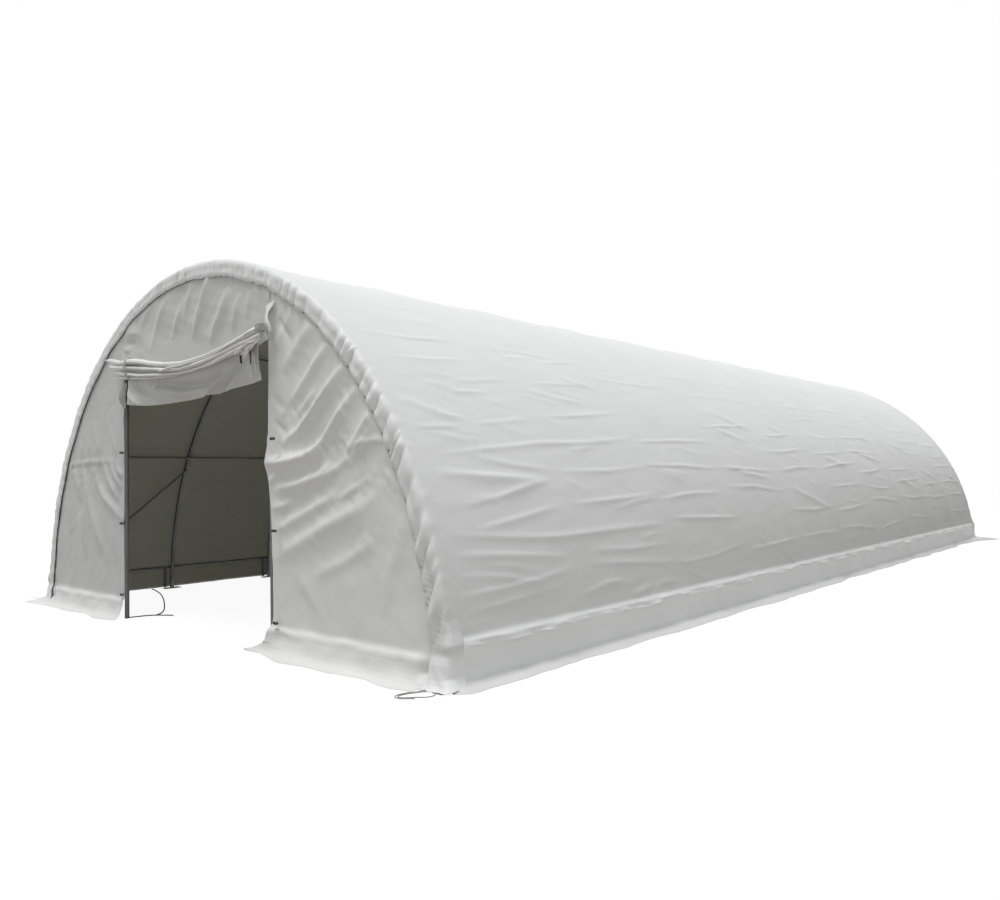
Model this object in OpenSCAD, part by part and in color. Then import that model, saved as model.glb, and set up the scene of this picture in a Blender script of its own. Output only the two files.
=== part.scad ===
// Fabric hay shelter: a half-round tunnel of steel hoops under a white fabric cover, open at
// the front doorway, with its door curtain tied up in a roll.
// Millimetres, +Z up, front towards -Y, origin on the ground at the middle of the shelter.

/* [Shelter] */
// Width across the cover at the ground, twice the height of the arch
shelter_w = 9144; // [8800:1:12000]
// Length between the outer faces of the two hems
shelter_l = 19812; // [9000:1:28000]
// Number of bays between hoops
bays = 10; // [5:1:14]

/* [Frame] */
// Outside diameter of the hoop tubes
hoop_d = 60; // [48:1:76]
// Outside diameter of the purlin tubes
purlin_d = 33; // [25:1:48]
// Angle of the lower purlins above the ground
lower_purlin_deg = 31; // [30:1:40]
// Angle of the upper purlins above the ground
upper_purlin_deg = 60; // [50:1:70]
// Outside diameter of the diagonal wind braces
brace_d = 33; // [25:1:48]
// Angle of a brace's foot on the end hoop
brace_low_deg = 4; // [3:1:10]
// Angle of a brace's head on the next hoop
brace_high_deg = 28; // [20:1:28]

/* [Feet] */
// Length of a base plate along the shelter
plate_l = 300; // [290:1:360]
// Width of a base plate across the shelter
plate_w = 120; // [90:1:130]
// Thickness of a base plate
plate_t = 8; // [5:1:12]
// Distance between the two anchor holes of a base plate
anchor_spacing = 150; // [100:1:170]
// Diameter of an anchor hole
anchor_d = 14; // [10:1:16]

/* [Cover] */
// Thickness of the fabric solids
fabric_t = 6; // [3:1:8]
// Number of lengthwise strips that the cover's solid is cut into
strips = 12; // [8:1:16]
// Width of the gathered hem on each end
hem_w = 220; // [150:1:260]
// Diameter of the draw rope along the hem's inner edge
hem_rope_d = 12; // [8:1:16]
// Diameter of the rail in the cover's lower pocket
rail_d = 33; // [25:1:42]
// Height of the rail above the ground
rail_z = 380; // [340:1:420]
// How far the side skirts lie out on the ground
side_skirt_out = 215; // [180:1:450]
// How far the pulled-out corner of a side skirt lies out on the ground
corner_out = 800; // [500:1:900]
// Length of skirt over which that corner tapers back to the skirt's edge
corner_taper = 1300; // [600:1:2000]
// How far the end skirts lie out on the ground
end_skirt_out = 220; // [180:1:450]
// Height at which the end skirts leave the end walls
end_skirt_z = 250; // [200:1:300]
// Open corner between an end skirt and a side skirt
corner_gap = 120; // [100:1:200]
// How much is cut off the outer corners of the end skirts
corner_cut = 190; // [150:1:200]

/* [Tension straps] */
// Width of the webbing
strap_w = 44; // [35:1:46]
// Thickness of the webbing
strap_t = 3; // [2:1:4]
// Distance from a strap's edge to the end of its base plate
strap_edge = 8; // [4:1:12]
// Height of a ratchet's lower end
ratchet_z = 150; // [100:1:180]
// Length of a ratchet
ratchet_l = 90; // [60:1:120]
// Depth of a ratchet
ratchet_t = 24; // [16:1:30]

/* [Door] */
// Clear width of the doorway between its fabric edges
door_w = 3660; // [3000:1:3800]
// Height of the header tube
door_h = 3600; // [3520:1:3700]
// Outside diameter of the posts
post_d = 60; // [48:1:76]
// Outside diameter of the headers
header_d = 48; // [38:1:60]
// How far a post reaches behind its wall's edge
post_lap = 20; // [10:1:30]

/* [Door curtain] */
// Diameter of the rolled curtain
roll_d = 200; // [150:1:230]
// How far the roll reaches past the doorway's left edge
roll_past_left = 370; // [250:1:400]
// How far the roll reaches past the doorway's right edge
roll_past_right = 20; // [20:1:150]
// Height of the roll's two ends
roll_end_z = 3570; // [3500:1:3600]
// How far the roll sags between its ends
roll_sag = 240; // [150:1:300]
// Height of the lower edge of the curtain's loose end
flap_z = 2920; // [2700:1:3000]
// Distance from the doorway's left edge to the loose end
flap_in_left = 330; // [100:1:500]
// Distance from the doorway's right edge to the loose end
flap_in_right = 180; // [170:1:400]
// Width of the bands that tie the roll up
band_w = 50; // [40:1:60]
// Thickness of the bands
band_t = 3; // [2:1:4]
// Distance from the doorway's left edge out to the left band
band_past_left = 20; // [0:1:60]
// Distance from the doorway's right edge in to the right band
band_in_right = 130; // [100:1:140]
// Distance from the top of a band's tail to the hem
band_gap = 110; // [20:1:160]

/* [Door toggles] */
// Diameter of a toggle
toggle_d = 20; // [12:1:30]
// Length of a toggle
toggle_l = 140; // [100:1:180]
// How far a toggle reaches into the doorway
toggle_in = 30; // [20:1:40]
// Height of the lowest toggle
toggle_z = 330; // [280:1:500]
// Distance between toggles
toggle_pitch = 985; // [600:1:1100]
// Number of toggles on each side of the doorway
toggles = 3; // [1:1:3]

/* [Loose ropes] */
// Diameter of the ropes left lying inside the doorway
floor_rope_d = 18; // [10:1:18]
// Diameter of the draw rope's loose end at the front corner
corner_rope_d = 10; // [6:1:10]

/* [Hidden] */
$fn = 48;
arch_fn = 360;
sag_fn = 720;
flap_steps = 24;

fabric_colour = [0.88, 0.89, 0.87];
steel_colour = [0.5, 0.52, 0.52];
webbing_colour = [0.08, 0.08, 0.08];
rope_colour = [0.55, 0.55, 0.53];

// Clearance between a round piece and what it seats on
seat = 0.3;
// How far a cut reaches past what it cuts, along a line and round the arch
past = 1;
past_deg = 1;

// The cover, from outside to inside
cover_r = shelter_w / 2;
cover_in_r = cover_r - fabric_t;
hoop_r = cover_in_r - seat - hoop_d / 2;
hoop_in_r = hoop_r - hoop_d / 2;
hem_r = cover_r - hem_w;
wall_r = cover_in_r - seat;
purlin_r = hoop_in_r - seat - purlin_d / 2;
brace_r = hoop_in_r - seat - brace_d / 2;

// An end, from its outer face inwards: hem, wall, hoop
end_y = shelter_l / 2;
hem_back_y = end_y - fabric_t;
wall_back_y = hem_back_y - fabric_t;
end_hoop_y = wall_back_y - seat - hoop_d / 2;
bay_l = 2 * end_hoop_y / bays;
function hoop_y(i) = -end_hoop_y + i * bay_l;

// The cover ends a little above the rail's pocket, which wraps the rail between two angles.
// Below it the cloth falls to the ground: out from the rail, and up from the ground
cover_edge_up = 20;
pocket_deg = 60;
pocket_drop = 80;
side_drop_out = 2;
side_fall = [[8, 150], [30, 60], [75, 18]];
side_flat_out = 130;

// An end wall's loose foot leaves the wall likewise
end_fall = [[4, 150], [22, 75], [60, 28]];
end_flat_out = 115;

// The rail rests against the outside of the hoops
rail_r = hoop_r + hoop_d / 2 + seat + rail_d / 2;
rail_x = sqrt(rail_r * rail_r - rail_z * rail_z);
cover_low_z = rail_z + rail_d / 2 + cover_edge_up;
cover_low_deg = asin(cover_low_z / cover_in_r);

// Each strap stands on the end of its base plate
strap_off = plate_l / 2 - strap_w / 2 - strap_edge;

// The doorway
door_edge = door_w / 2;
post_x = door_edge + post_lap - post_d / 2;

// The rolled curtain follows an arc that sags between its ends
roll_x0 = -door_edge - roll_past_left;
roll_x1 = door_edge + roll_past_right;
roll_half = (roll_x1 - roll_x0) / 2;
roll_mid_x = (roll_x0 + roll_x1) / 2;
arc_r = (roll_half * roll_half + roll_sag * roll_sag) / (2 * roll_sag);
arc_z = roll_end_z - roll_sag + arc_r;
arc_deg = asin(roll_half / arc_r);
roll_y = -hem_back_y - 2 * seat - band_t - roll_d / 2;

// Hand-laid routes of the three loose ropes
post_rope_route = [
    [-1798, -9842, 10], [-1790, -9780, 10], [-1776, -9705, 10], [-1754, -9630, 10],
    [-1718, -9565, 10], [-1665, -9512, 10], [-1600, -9468, 10], [-1530, -9425, 10],
    [-1455, -9382, 10]
];
wall_rope_route = [
    [-4636, -8210, 10], [-4590, -8214, 10], [-4530, -8224, 10], [-4460, -8242, 10],
    [-4390, -8262, 10], [-4310, -8284, 10], [-4225, -8308, 10], [-4140, -8334, 10],
    [-4050, -8362, 10], [-3955, -8393, 10], [-3860, -8426, 10], [-3765, -8460, 10],
    [-3665, -8498, 10], [-3565, -8538, 10], [-3465, -8578, 10], [-3365, -8619, 10],
    [-3265, -8661, 10], [-3165, -8704, 10], [-3065, -8748, 10], [-2965, -8792, 10],
    [-2865, -8837, 10], [-2765, -8883, 10], [-2665, -8929, 10], [-2565, -8976, 10],
    [-2465, -9023, 10], [-2370, -9069, 10], [-2275, -9116, 10], [-2180, -9163, 10],
    [-2085, -9212, 10], [-1995, -9262, 10], [-1912, -9312, 10], [-1838, -9362, 10],
    [-1775, -9412, 10], [-1728, -9462, 10], [-1686, -9518, 10]
];
corner_rope_route = [
    [4495, -9903, 249], [4494, -9904, 205], [4492, -9908, 160], [4488, -9914, 115],
    [4482, -9923, 72], [4472, -9936, 34], [4458, -9954, 12], [4442, -9976, 6],
    [4424, -10002, 6], [4406, -10030, 6], [4390, -10060, 6], [4374, -10092, 6],
    [4358, -10126, 6], [4344, -10162, 6], [4334, -10200, 6], [4328, -10238, 6],
    [4334, -10272, 6], [4356, -10292, 6], [4388, -10288, 6], [4418, -10268, 6],
    [4446, -10242, 6], [4474, -10214, 6], [4504, -10188, 6], [4536, -10162, 6],
    [4560, -10130, 6], [4566, -10094, 6], [4558, -10062, 6], [4538, -10038, 7],
    [4512, -10027, 10], [4484, -10024, 14], [4455, -10023, 18], [4426, -10026, 20],
    [4400, -10036, 18], [4376, -10060, 11], [4357, -10086, 6], [4340, -10112, 6],
    [4322, -10142, 6], [4308, -10182, 6], [4300, -10224, 6], [4304, -10266, 6],
    [4324, -10300, 6], [4358, -10318, 6], [4396, -10314, 6], [4432, -10294, 6],
    [4466, -10266, 6], [4500, -10238, 6]
];

// ---- Helpers ----

// Stands a shape drawn in the XY plane up in the XZ plane
module upright() {
    rotate([90, 0, 0]) children();
}

// A tube along the shelter, at a radius and angle of the arch
module long_tube(radius, deg, d, half_l) {
    translate([radius * cos(deg), half_l, radius * sin(deg)])
        upright() cylinder(h = 2 * half_l, d = d);
}

// A straight tube between two points
module tube_between(from, to, d) {
    way = to - from;
    translate(from)
        rotate([0, acos(way.z / norm(way)), atan2(way.y, way.x)])
            cylinder(h = norm(way), d = d);
}

function on_arch(radius, deg, y) = [radius * cos(deg), y, radius * sin(deg)];

// A strip of cloth of even thickness along a path of points
function turn(v) = [-v.y, v.x];
function side_of(path, i) =
    let (before = path[max(i - 1, 0)], after = path[min(i + 1, len(path) - 1)],
         a = i > 0 ? (path[i] - before) / norm(path[i] - before) : undef,
         b = i < len(path) - 1 ? (after - path[i]) / norm(after - path[i]) : undef,
         n = is_undef(a) ? turn(b) : is_undef(b) ? turn(a) : turn(a + b) / norm(a + b),
         own = is_undef(b) ? turn(a) : turn(b))
    n / (n * own);
function cloth_outline(path, t) = concat(
    [for (i = [0 : len(path) - 1]) path[i] + side_of(path, i) * t / 2],
    [for (i = [len(path) - 1 : -1 : 0]) path[i] - side_of(path, i) * t / 2]);

// A round tube of eight sides swept along a route, its sides carried on without a twist
function heading(route, i) =
    let (v = route[min(i + 1, len(route) - 1)] - route[max(i - 1, 0)]) v / norm(v);
function across(h) = abs(h.z) > 0.7 ? cross(h, [1, 0, 0]) : cross(h, [0, 0, 1]);
function carried(route, i, side) = i == len(route) ? [] :
    let (h = heading(route, i), v = side - (side * h) * h, next = v / norm(v))
    concat([next], carried(route, i + 1, next));
rope_sides = 8;
module rope(route, d) {
    sides = carried(route, 0, across(heading(route, 0)));
    ups = [for (i = [0 : len(route) - 1]) cross(sides[i], heading(route, i))];
    points = [for (i = [0 : len(route) - 1]) for (k = [0 : rope_sides - 1])
        route[i] + d / 2 * (cos(k * 360 / rope_sides) * sides[i]
                            + sin(k * 360 / rope_sides) * ups[i])];
    walls = [for (i = [0 : len(route) - 2]) for (k = [0 : rope_sides - 1])
        let (a = i * rope_sides + k, b = i * rope_sides + (k + 1) % rope_sides)
        [a, b, b + rope_sides, a + rope_sides]];
    first = [for (k = [rope_sides - 1 : -1 : 0]) k];
    last = [for (k = [0 : rope_sides - 1]) (len(route) - 1) * rope_sides + k];
    polyhedron(points, concat(walls, [first, last]));
}

// ---- Steel frame ----

// One bent tube from foot to foot, cut flat where it stands on its base plates
module hoop(i) {
    color(steel_colour) translate([0, hoop_y(i), 0])
        intersection() {
            upright() rotate_extrude(angle = 180, $fn = arch_fn)
                translate([hoop_r, 0]) circle(d = hoop_d);
            translate([-cover_r, -hoop_d, plate_t])
                cube([2 * cover_r, 2 * hoop_d, cover_r]);
        }
}

module middle_hoops() {
    for (i = [1 : bays - 1]) hoop(i);
}

// Purlins run under the hoops, from end wall to end wall
module purlin(deg) {
    color(steel_colour) long_tube(purlin_r, deg, purlin_d, wall_back_y - seat);
}

module side_purlins() {
    purlin(lower_purlin_deg);
    purlin(upper_purlin_deg);
}

// A diagonal from the foot of one hoop to the next hoop, under both
module brace(end_hoop, next_hoop) {
    color(steel_colour) tube_between(
        on_arch(brace_r, brace_low_deg, hoop_y(end_hoop)),
        on_arch(brace_r, brace_high_deg, hoop_y(next_hoop)), brace_d);
}

module braces(end_hoop, next_hoop) {
    brace(end_hoop, next_hoop);
    mirror([1, 0, 0]) brace(end_hoop, next_hoop);
}

// Flat plates with two anchor holes, one under each foot on a side
module base_plates() {
    color(steel_colour) for (i = [0 : bays]) translate([hoop_r, hoop_y(i), 0])
        difference() {
            translate([-plate_w / 2, -plate_l / 2, 0]) cube([plate_w, plate_l, plate_t]);
            for (s = [-1, 1]) translate([0, s * anchor_spacing / 2, -past])
                cylinder(h = plate_t + 2 * past, d = anchor_d);
        }
}

// An end post, cut at the top to fit under the hoop
module post(y) {
    color(steel_colour) intersection() {
        translate([post_x, y, 0]) cylinder(h = cover_r, d = post_d);
        translate([0, y + post_d, 0]) upright()
            cylinder(h = 2 * post_d, r = hoop_in_r - seat, $fn = arch_fn);
    }
}

module header(y) {
    half = post_x - post_d / 2 - seat;
    color(steel_colour) translate([-half, y, door_h])
        rotate([0, 90, 0]) cylinder(h = 2 * half, d = header_d);
}

// ---- Cover and what holds it down ----

// The cover in lengthwise strips, a hair apart, from rail to rail over the ridge
module main_cover() {
    strip_deg = (180 - 2 * cover_low_deg) / strips;
    gap_deg = seat / cover_in_r * 180 / PI;
    color(fabric_colour) intersection() {
        upright() for (i = [0 : strips - 1])
            let (from = i > 0 ? gap_deg : -past_deg,
                 to = strip_deg + (i == strips - 1 ? past_deg : 0))
            rotate([0, 0, cover_low_deg + i * strip_deg + from])
                rotate_extrude(angle = to - from, $fn = arch_fn)
                    translate([cover_in_r, -hem_back_y])
                        square([fabric_t, 2 * hem_back_y]);
        translate([-cover_r - past, -end_y, cover_low_z])
            cube([2 * (cover_r + past), shelter_l, cover_r]);
    }
}

// The cover below its edge: a pocket round the rail, a drop, and a skirt on the ground
module side_skirt() {
    start_x = sqrt(cover_in_r * cover_in_r - cover_low_z * cover_low_z) + fabric_t / 2;
    pocket = rail_d / 2 + seat + fabric_t / 2;
    flat_x = rail_x + side_flat_out;
    path = concat(
        [[start_x, cover_low_z]],
        [for (a = [pocket_deg : -pocket_deg / 2 : -pocket_deg])
            [rail_x + pocket * cos(a), rail_z + pocket * sin(a)]],
        [[rail_x + side_drop_out, rail_z - pocket_drop]],
        [for (p = side_fall) [rail_x + p.x, p.y]],
        [[flat_x, fabric_t / 2], [rail_x + side_skirt_out, fabric_t / 2]]);
    color(fabric_colour) {
        translate([0, hem_back_y, 0]) upright()
            linear_extrude(2 * hem_back_y) polygon(cloth_outline(path, fabric_t));
        linear_extrude(fabric_t) polygon([
            [flat_x, hem_back_y], [rail_x + corner_out, hem_back_y],
            [rail_x + side_skirt_out, hem_back_y - corner_taper],
            [flat_x, hem_back_y - corner_taper]]);
    }
}

module cover_rail() {
    color(steel_colour) translate([rail_x, hem_back_y - seat, rail_z])
        upright() cylinder(h = 2 * (hem_back_y - seat), d = rail_d);
}

// A webbing strap from the rail to each base plate, with its ratchet
module tension_straps() {
    face_x = rail_x - rail_d / 2 - seat;
    for (i = [0 : bays]) translate([face_x, hoop_y(i) + (i == 0 ? 1 : -1) * strap_off, 0])
        color(webbing_colour) {
            translate([-strap_t, -strap_w / 2, plate_t])
                cube([strap_t, strap_w, rail_z + rail_d / 2 - plate_t]);
            translate([-ratchet_t, -strap_w / 2, ratchet_z])
                cube([ratchet_t, strap_w, ratchet_l]);
        }
}

// The hem: the cover's edge turned in over the end wall, in a flat half ring
module hem(y) {
    color(fabric_colour) intersection() {
        translate([0, y, 0]) upright() linear_extrude(fabric_t) difference() {
            circle(r = cover_r, $fn = arch_fn);
            circle(r = hem_r, $fn = arch_fn);
        }
        translate([-cover_r, -end_y, end_skirt_z]) cube([2 * cover_r, shelter_l, cover_r]);
    }
}

module hem_rope(y) {
    rope_r = hem_r - seat - hem_rope_d / 2;
    low = asin(end_skirt_z / rope_r);
    color(webbing_colour) translate([0, y, 0]) upright()
        rotate([0, 0, low]) rotate_extrude(angle = 180 - 2 * low, $fn = arch_fn)
            translate([rope_r, 0]) circle(d = hem_rope_d);
}

// ---- End walls ----

// A flat piece of an end wall, inside the cover's circle
module wall_panel(back_y) {
    color(fabric_colour) translate([0, back_y, 0]) upright() linear_extrude(fabric_t)
        intersection() {
            circle(r = wall_r, $fn = arch_fn);
            children();
        }
}

module front_side_wall() {
    wall_panel(-wall_back_y) translate([door_edge, end_skirt_z]) square([cover_r, cover_r]);
}

// Above the doorway, down to the middle of the rolled curtain
module front_top_wall() {
    wall_panel(-wall_back_y) intersection() {
        translate([-door_edge, 0]) square([door_w, cover_r]);
        translate([roll_mid_x, arc_z]) circle(r = arc_r, $fn = sag_fn);
    }
}

module rear_wall() {
    wall_panel(hem_back_y) translate([-cover_r, end_skirt_z]) square([2 * cover_r, cover_r]);
}

// The loose foot of an end wall, laid out on the ground, from x0 to x1, with its corners cut
module end_skirt(x0, x1, cut0, cut1) {
    out = hem_back_y - fabric_t / 2;
    tip = out + end_skirt_out;
    back = fabric_t - out;
    path = concat([[out, end_skirt_z]], [for (p = end_fall) [out + p.x, p.y]],
                  [[out + end_flat_out, fabric_t / 2], [tip, fabric_t / 2]]);
    color(fabric_colour) intersection() {
        translate([x1, 0, 0]) rotate([0, 0, -90]) upright()
            linear_extrude(x1 - x0) polygon(cloth_outline(path, fabric_t));
        linear_extrude(end_skirt_z) polygon(concat(
            [[x0, back], [x0, cut0 - tip]],
            cut0 > 0 ? [[x0 + cut0, -tip]] : [],
            cut1 > 0 ? [[x1 - cut1, -tip]] : [],
            [[x1, cut1 - tip], [x1, back]]));
    }
}

// ---- Rolled door curtain ----

function roll_z(x) = arc_z - sqrt(arc_r * arc_r - (x - roll_mid_x) * (x - roll_mid_x));

// A piece swept along the roll's arc, between two angles from its lowest point
module along_roll(from_deg, to_deg) {
    translate([roll_mid_x, roll_y, arc_z]) upright() rotate([0, 0, 270 + from_deg])
        rotate_extrude(angle = to_deg - from_deg, $fn = sag_fn)
            translate([arc_r, 0]) children();
}

module door_curtain_roll() {
    color(fabric_colour) along_roll(-arc_deg, arc_deg) circle(d = roll_d);
}

// The curtain's lower end, hanging free below the roll
module door_curtain_flap() {
    left = -door_edge + flap_in_left;
    right = door_edge - flap_in_right;
    under_r = arc_r + roll_d / 2 + seat;
    corner = function(x) [x, arc_z - sqrt(under_r * under_r - (x - roll_mid_x) * (x - roll_mid_x))];
    color(fabric_colour) translate([0, roll_y + fabric_t / 2, 0]) upright()
        linear_extrude(fabric_t) polygon(concat(
            [[left, flap_z], [right, flap_z]],
            [for (i = [flap_steps : -1 : 0]) corner(left + (right - left) * i / flap_steps)]));
}

// A webbing band round the roll, with its tail up the wall
module curtain_band(x) {
    mid_deg = asin((x - roll_mid_x) / arc_r);
    half_deg = band_w / 2 / arc_r * 180 / PI;
    inner_d = roll_d + 2 * seat;
    color(fabric_colour) {
        along_roll(mid_deg - half_deg, mid_deg + half_deg) difference() {
            circle(d = inner_d + 2 * band_t);
            circle(d = inner_d);
        }
        translate([x - band_w / 2, -hem_back_y - seat - band_t, roll_z(x)])
            cube([band_w, band_t, sqrt(hem_r * hem_r - x * x) - band_gap - roll_z(x)]);
    }
}

module curtain_bands() {
    curtain_band(-door_edge - band_past_left);
    curtain_band(door_edge - band_in_right);
}

// Elastic toggles that hold a wall's edge to its post
module door_toggles() {
    color(webbing_colour) for (i = [0 : toggles - 1])
        translate([door_edge - toggle_in, -hem_back_y - seat - toggle_d / 2,
                   toggle_z + i * toggle_pitch])
            rotate([0, 90, 0]) cylinder(h = toggle_l, d = toggle_d);
}

// ---- The pieces in place ----

hoop(0);  // front_hoop
middle_hoops();
hoop(bays);  // rear_hoop
purlin(90);  // ridge_purlin
mirror([1, 0, 0]) side_purlins();  // left_purlins
side_purlins();  // right_purlins
braces(0, 1);  // front_braces
braces(bays, bays - 1);  // rear_braces
mirror([1, 0, 0]) base_plates();  // left_base_plates
base_plates();  // right_base_plates
mirror([1, 0, 0]) post(-end_hoop_y);  // front_left_post
post(-end_hoop_y);  // front_right_post
header(-end_hoop_y);  // front_header
mirror([1, 0, 0]) post(end_hoop_y);  // rear_left_post
post(end_hoop_y);  // rear_right_post
header(end_hoop_y);  // rear_header
mirror([1, 0, 0]) cover_rail();  // left_cover_rail
cover_rail();  // right_cover_rail
mirror([1, 0, 0]) tension_straps();  // left_tension_straps
tension_straps();  // right_tension_straps
main_cover();
rotate([0, 0, 180]) side_skirt();  // left_skirt
side_skirt();  // right_skirt
hem(-hem_back_y);  // front_hem
hem(end_y);  // rear_hem
hem_rope(-hem_back_y - seat - hem_rope_d / 2);  // front_hem_rope
hem_rope(hem_back_y + seat + hem_rope_d / 2);  // rear_hem_rope
mirror([1, 0, 0]) front_side_wall();  // front_left_wall
front_side_wall();  // front_right_wall
front_top_wall();
rear_wall();
mirror([1, 0, 0]) end_skirt(door_edge, cover_r - corner_gap, 0, corner_cut);  // front_left_skirt
end_skirt(door_edge, cover_r - corner_gap, 0, corner_cut);  // front_right_skirt
rotate([0, 0, 180])  // rear_skirt
    end_skirt(-cover_r + corner_gap, cover_r - corner_gap, corner_cut, corner_cut);
door_curtain_roll();
door_curtain_flap();
curtain_bands();
mirror([1, 0, 0]) door_toggles();  // left_door_toggles
door_toggles();  // right_door_toggles
rope(post_rope_route, floor_rope_d);  // post_rope
rope(wall_rope_route, floor_rope_d);  // wall_rope
rope(corner_rope_route, corner_rope_d);  // corner_rope
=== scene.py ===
import math

import bmesh
import bpy
import numpy as np
from mathutils import Matrix, Vector


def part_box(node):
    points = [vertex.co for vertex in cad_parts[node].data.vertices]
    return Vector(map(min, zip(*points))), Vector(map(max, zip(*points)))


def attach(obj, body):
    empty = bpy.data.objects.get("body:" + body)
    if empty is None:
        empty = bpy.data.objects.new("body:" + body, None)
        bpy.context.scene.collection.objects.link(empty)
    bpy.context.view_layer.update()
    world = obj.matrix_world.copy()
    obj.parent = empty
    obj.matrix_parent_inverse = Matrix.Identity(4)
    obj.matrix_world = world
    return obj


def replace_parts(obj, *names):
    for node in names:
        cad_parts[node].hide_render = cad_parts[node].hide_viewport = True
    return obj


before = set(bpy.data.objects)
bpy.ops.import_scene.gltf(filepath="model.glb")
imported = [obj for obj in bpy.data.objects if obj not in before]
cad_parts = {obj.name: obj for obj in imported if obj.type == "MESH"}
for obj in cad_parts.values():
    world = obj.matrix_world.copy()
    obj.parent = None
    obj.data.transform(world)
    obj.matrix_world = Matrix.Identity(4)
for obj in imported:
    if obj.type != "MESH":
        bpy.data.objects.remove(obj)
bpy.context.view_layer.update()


# ---- View and studio ----
# The shelter is looked at from a person's eye height, off its near front corner. A soft lamp from
# overhead, a weak softbox off the near corner and an even pale sky light it, and a pale floor
# carries it and takes its shadow.
view_place = Vector((9.563, -14.789, 1.797))
view_heading = math.radians(41.706)
view_rise = math.radians(2.221)
view_tilt = math.radians(-1.143)

camera = bpy.data.objects.new("camera", bpy.data.cameras.new("camera"))
camera.data.sensor_width = 36
camera.data.lens = 28.974
camera.data.clip_end = 200
camera.matrix_world = (
    Matrix.Translation(view_place)
    @ Matrix.Rotation(view_heading, 4, "Z")
    @ Matrix.Rotation(math.pi / 2 + view_rise, 4, "X")
    @ Matrix.Rotation(view_tilt, 4, "Z")
)
bpy.context.scene.collection.objects.link(camera)
bpy.context.scene.camera = camera
bpy.context.scene.view_settings.view_transform = "Standard"

lamp = bpy.data.objects.new("overhead_lamp", bpy.data.lights.new("overhead_lamp", "SUN"))
lamp.data.energy = 1.75
lamp.data.angle = math.radians(20)
lamp.data.color = (1, 0.995, 0.985)
lamp.rotation_euler = Vector((-0.11, -0.24, 0.965)).to_track_quat("Z", "Y").to_euler()
bpy.context.scene.collection.objects.link(lamp)

fill = bpy.data.objects.new("near_corner_softbox", bpy.data.lights.new("near_corner_softbox", "AREA"))
fill.data.shape = "DISK"
fill.data.size = 9
fill.data.energy = 210
fill.location = (17, -12.5, 5.5)
fill.rotation_euler = Vector((12.5, -6.5, 4)).to_track_quat("Z", "Y").to_euler()
bpy.context.scene.collection.objects.link(fill)


def set_inputs(tree, node, inputs):
    """Sets a shader node's inputs to values, or links them to sockets."""
    for name, value in inputs.items():
        if isinstance(value, bpy.types.NodeSocket):
            tree.links.new(value, node.inputs[name])
        else:
            node.inputs[name].default_value = value


def add_node(tree, kind, inputs=None, **settings):
    """A shader node with its settings, and its inputs set or linked."""
    node = tree.nodes.new(kind)
    for setting, value in settings.items():
        setattr(node, setting, value)
    set_inputs(tree, node, inputs or {})
    return node


def ranged(tree, value, source=(0, 1), result=(0, 1)):
    """A value moved from one range to another, and held at its ends."""
    return add_node(tree, "ShaderNodeMapRange", {
        "Value": value, "From Min": source[0], "From Max": source[1],
        "To Min": result[0], "To Max": result[1]}).outputs[0]


def maths(tree, operation, first, second=None, clamped=False):
    """The result of one operation on one or two sockets or values."""
    inputs = {0: first} if second is None else {0: first, 1: second}
    return add_node(tree, "ShaderNodeMath", inputs, operation=operation, use_clamp=clamped).outputs[0]


def mixed_shaders(tree, share, first, second):
    """The first shader where the share is 0, the second where it is 1."""
    return add_node(tree, "ShaderNodeMixShader", {
        0: share, 1: first.outputs[0], 2: second.outputs[0]})


def seen_directly(tree):
    """1 where the camera sees a surface, straight or in a reflection or through glass."""
    path = add_node(tree, "ShaderNodeLightPath").outputs
    straight = maths(tree, "MAXIMUM", path["Is Camera Ray"], path["Is Glossy Ray"])
    return maths(tree, "MAXIMUM", straight, path["Is Transmission Ray"])


white = (1, 1, 1, 1)
sky = bpy.data.worlds.new("studio_sky")
bpy.context.scene.world = sky
sky.use_nodes = True
tree = sky.node_tree
tree.nodes.clear()
sky_light = add_node(tree, "ShaderNodeBackground", {"Color": (0.97, 0.985, 1, 1), "Strength": 0.47})
sky_white = add_node(tree, "ShaderNodeBackground", {"Color": white, "Strength": 1})
sky_mix = mixed_shaders(tree, seen_directly(tree), sky_light, sky_white)
add_node(tree, "ShaderNodeOutputWorld", {"Surface": sky_mix.outputs[0]})

floor_drop = 0.003
floor_radius = 90
floor_bm = bmesh.new()
bmesh.ops.create_circle(floor_bm, cap_ends=True, segments=96, radius=floor_radius,
                        matrix=Matrix.Translation((0, 0, -floor_drop)))
floor_mesh = bpy.data.meshes.new("floor")
floor_bm.to_mesh(floor_mesh)
floor_bm.free()
floor = bpy.data.objects.new("floor", floor_mesh)
bpy.context.scene.collection.objects.link(floor)
floor_paint = bpy.data.materials.new("pale_floor")
floor_paint.use_nodes = True
tree = floor_paint.node_tree
tree.nodes.clear()
place = add_node(tree, "ShaderNodeTexCoord").outputs["Object"]
far = add_node(tree, "ShaderNodeVectorMath", {0: place}, operation="LENGTH").outputs["Value"]
glow = add_node(tree, "ShaderNodeEmission", {"Color": white, "Strength": 0.94})
matt = add_node(tree, "ShaderNodeBsdfDiffuse", {"Color": (0.09, 0.09, 0.09, 1)})
near_floor = add_node(tree, "ShaderNodeAddShader", {0: glow.outputs[0], 1: matt.outputs[0]})
far_floor = add_node(tree, "ShaderNodeEmission", {"Color": white, "Strength": 1})
seen_floor = mixed_shaders(tree, ranged(tree, far, (24, 44)), near_floor, far_floor)
lit_floor = add_node(tree, "ShaderNodeBsdfDiffuse", {"Color": (0.36, 0.35, 0.33, 1)})
floor_mix = mixed_shaders(tree, seen_directly(tree), lit_floor, seen_floor)
add_node(tree, "ShaderNodeOutputMaterial", {"Surface": floor_mix.outputs[0]})
floor.data.materials.append(floor_paint)


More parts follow.
